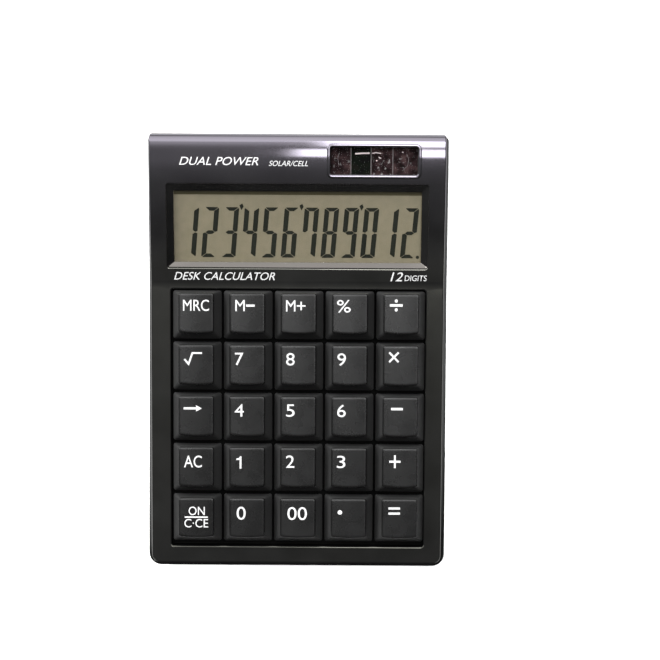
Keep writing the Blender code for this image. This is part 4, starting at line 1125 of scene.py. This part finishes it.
def make_solar_film(kit):
    """Four strips with fine lines between, a painted glint bar, painted glints and two thin arcs."""
    half_y = (SOLAR_BACK_Y - SOLAR_FRONT_Y) / 2
    low = -SOLAR_FILM_DEPTH
    edges = [SOLAR_HALF_X * share for share in SOLAR_EDGES]
    for index, finish in enumerate(SOLAR_FINISHES):
        strip = box_points(edges[index], -half_y, edges[index + 1], half_y)
        add_film(f"solar_strip_{index + 1}", [strip], low, kit[finish])
    above = low + INK_THICKNESS
    half_line = 0.08 * MM
    lines = [box_points(x - half_line, -half_y, x + half_line, half_y) for x in edges[1:-1]]
    add_film("solar_separators", lines, above, kit["solar_line"])
    for name, (paths, width, finish) in SOLAR_MARKS.items():
        strokes = [stroke_points(path, width) for path in paths]
        add_film(name, [[(x * MM, y * MM) for x, y in stroke] for stroke in strokes], above, kit[finish])


# ======== printed text
PRINTS = {
    # name: (text, left, front y, width, height, slanted) in millimetres, on the case's top
    "print_power": ("DUAL POWER", -41.2, 65.3, 27.6, 2.8, 0.3),
    "print_cells": ("SOLAR/CELL", -10.0, 65.1, 13.6, 1.8, 0.3),
    "print_name": ("DESK CALCULATOR", -43.5, 25.7, 35.6, 2.7, 0.3),
    "print_count": ("12", 32.8, 25.6, 4.4, 3.1, 0.25),
    "print_digits": ("DIGITS", 37.8, 25.7, 7.8, 1.95, 0.12),
}


def make_prints(kit):
    """Printed words on the case."""
    for name, (text, left, front, width, height, shear) in PRINTS.items():
        bm = text_mesh(text, shear)
        fit_flat(bm, left, front + height, width, height)
        thicken(bm, lambda x, y: case_height(y))
        finished(name, bm, [kit["ink"]], CASE)


# ======== carried-over CAD pieces
CAD_FINISHES = {
    # finish: the CAD pieces that wear it, each name in full or up to where they differ
    "matte": ("lower_housing", "battery_door", "lcd_frame"),
    "clear": ("display_window", "solar_window"),
    "lcd": ("lcd_front_glass", "lcd_rear_glass"),
    # painted shade: the guide plate under the keys in near-black
    "shade_black": ("key_guide_plate",),
    "flex": ("lcd_flex_strip",),
    "solar": ("solar_cell",),
    "board": ("main_board",),
    "epoxy": ("chip_blob",),
    "sleeve": ("capacitor",),
    "silicone": ("dome_sheet",),
    "nickel": ("battery_cell", "battery_contact_"),
    "steel": ("case_screw_", "board_screw_"),
    "rubber": ("foot_",),
    "wire_red": ("solar_wire_red", "battery_wire_red"),
    "wire_black": ("solar_wire_black", "battery_wire_black"),
}


def dress_cad(kit):
    """Gives every carried-over CAD piece its finish."""
    for finish, starts in CAD_FINISHES.items():
        for name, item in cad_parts.items():
            if name.startswith(starts):
                item.data.materials.clear()
                item.data.materials.append(kit[finish])


# ======== stage, light and camera
def make_floor():
    """Plain pale floor."""
    bm = bmesh.new()
    bmesh.ops.create_grid(bm, x_segments=1, y_segments=1, size=12.0)
    mesh = bpy.data.meshes.new("floor")
    bm.to_mesh(mesh)
    bm.free()
    floor = bpy.data.objects.new("floor", mesh)
    bpy.context.scene.collection.objects.link(floor)
    made, tree, shader = new_material("floor_white")
    pale = ramp(tree, noise(tree, 3.0), (0.3, grey(0.9)), (0.7, grey(0.93)))
    tree.links.new(pale, shader.inputs["Base Color"])
    shader.inputs["Roughness"].default_value = 0.9
    mesh.materials.append(made)


def light_patch(tree, lean_back, lean_right, back, right, soft, strength):
    """Soft-edged bright patch of sky, between two leans from overhead in degrees each way."""
    edges = []
    for lean, (low, high) in ((lean_back, back), (lean_right, right)):
        for side, start, end in ((low, 0.0, 1.0), (high, 1.0, 0.0)):
            near, far = math.radians(side - soft), math.radians(side + soft)
            edges.append(smooth_range(tree, lean, near, far, start, end))
    return combine(tree, "MULTIPLY", *edges, strength)


CEILING = (
    # (lean back from overhead in degrees, brightness): bright behind the object, dim in front of it
    (-90, 0.03),
    (-40, 0.03),
    (-27, 0.2),
    (-24, 0.06),
    (-19, 0.2),
    (-14, 0.42),
    (-10.5, 0.8),
    (-6, 0.85),
    (-4.6, 1.3),
    (-3.4, 3.8),
    (3, 7.0),
    (15, 7.5),
    (32, 7.0),
    (60, 5.5),
    (78, 3.0),
    (90, 2.0),
)
PATCHES = (
    # (lean back from and to, lean right from and to, softness in degrees, brightness)
    ((-8.6, -5.7), (-1.2, 12.0), 0.25, 22.0),
    ((-4.6, 14.0), (-0.2, 12.0), 0.25, 22.0),
    ((8.0, 75.0), (-63.0, -38.0), 4.0, 14.0),
)


def make_light():
    """World light of a studio: a ceiling that varies from front to back, and bright patches."""
    world = bpy.data.worlds.new("studio")
    bpy.context.scene.world = world
    world.use_nodes = True
    tree = world.node_tree
    background = tree.nodes["Background"]
    direction = tree.nodes.new("ShaderNodeTexCoord").outputs["Generated"]
    parts = node(tree, "ShaderNodeSeparateXYZ", Vector=direction).outputs
    lean_back = combine(tree, "ARCTAN2", parts["Y"], parts["Z"])
    lean_right = combine(tree, "ARCTAN2", parts["X"], parts["Z"])
    share = map_range(tree, lean_back, math.radians(-90), math.radians(90))
    overhead = ramp(tree, share, *[((lean + 90) / 180, grey(level)) for lean, level in CEILING])
    from_right = smooth_range(tree, lean_right, math.radians(14), math.radians(42), 1.0, 0.03)
    from_left = smooth_range(tree, lean_right, math.radians(-45), math.radians(-14), 0.3, 1.0)
    width = combine(tree, "MULTIPLY", from_left, from_right)
    patch = combine(tree, "ADD", *[light_patch(tree, lean_back, lean_right, *item) for item in PATCHES])
    ceiling = node(tree, "ShaderNodeVectorMath", Vector=overhead)
    ceiling.operation = "SCALE"
    tree.links.new(width, ceiling.inputs["Scale"])
    total = tree.nodes.new("ShaderNodeVectorMath")
    total.operation = "ADD"
    tree.links.new(ceiling.outputs["Vector"], total.inputs[0])
    tree.links.new(patch, total.inputs[1])
    tree.links.new(total.outputs["Vector"], background.inputs["Color"])
    background.inputs["Strength"].default_value = 1.0


def make_camera():
    """Camera looking straight down."""
    camera = bpy.data.cameras.new("camera")
    camera.lens = CAMERA_LENS
    camera.sensor_width = CAMERA_SENSOR
    item = bpy.data.objects.new("camera", camera)
    bpy.context.scene.collection.objects.link(item)
    item.location = CAMERA_PLACE
    item.rotation_euler = (0, 0, CAMERA_ROLL)
    bpy.context.scene.camera = item


def main():
    make_camera()
    kit = make_materials()
    make_upper_housing(kit)
    make_keys(kit)
    make_display(kit)
    make_solar_film(kit)
    make_prints(kit)
    dress_cad(kit)
    make_floor()
    make_light()
    bpy.context.scene.view_settings.view_transform = "Standard"
    bpy.context.view_layer.update()


main()
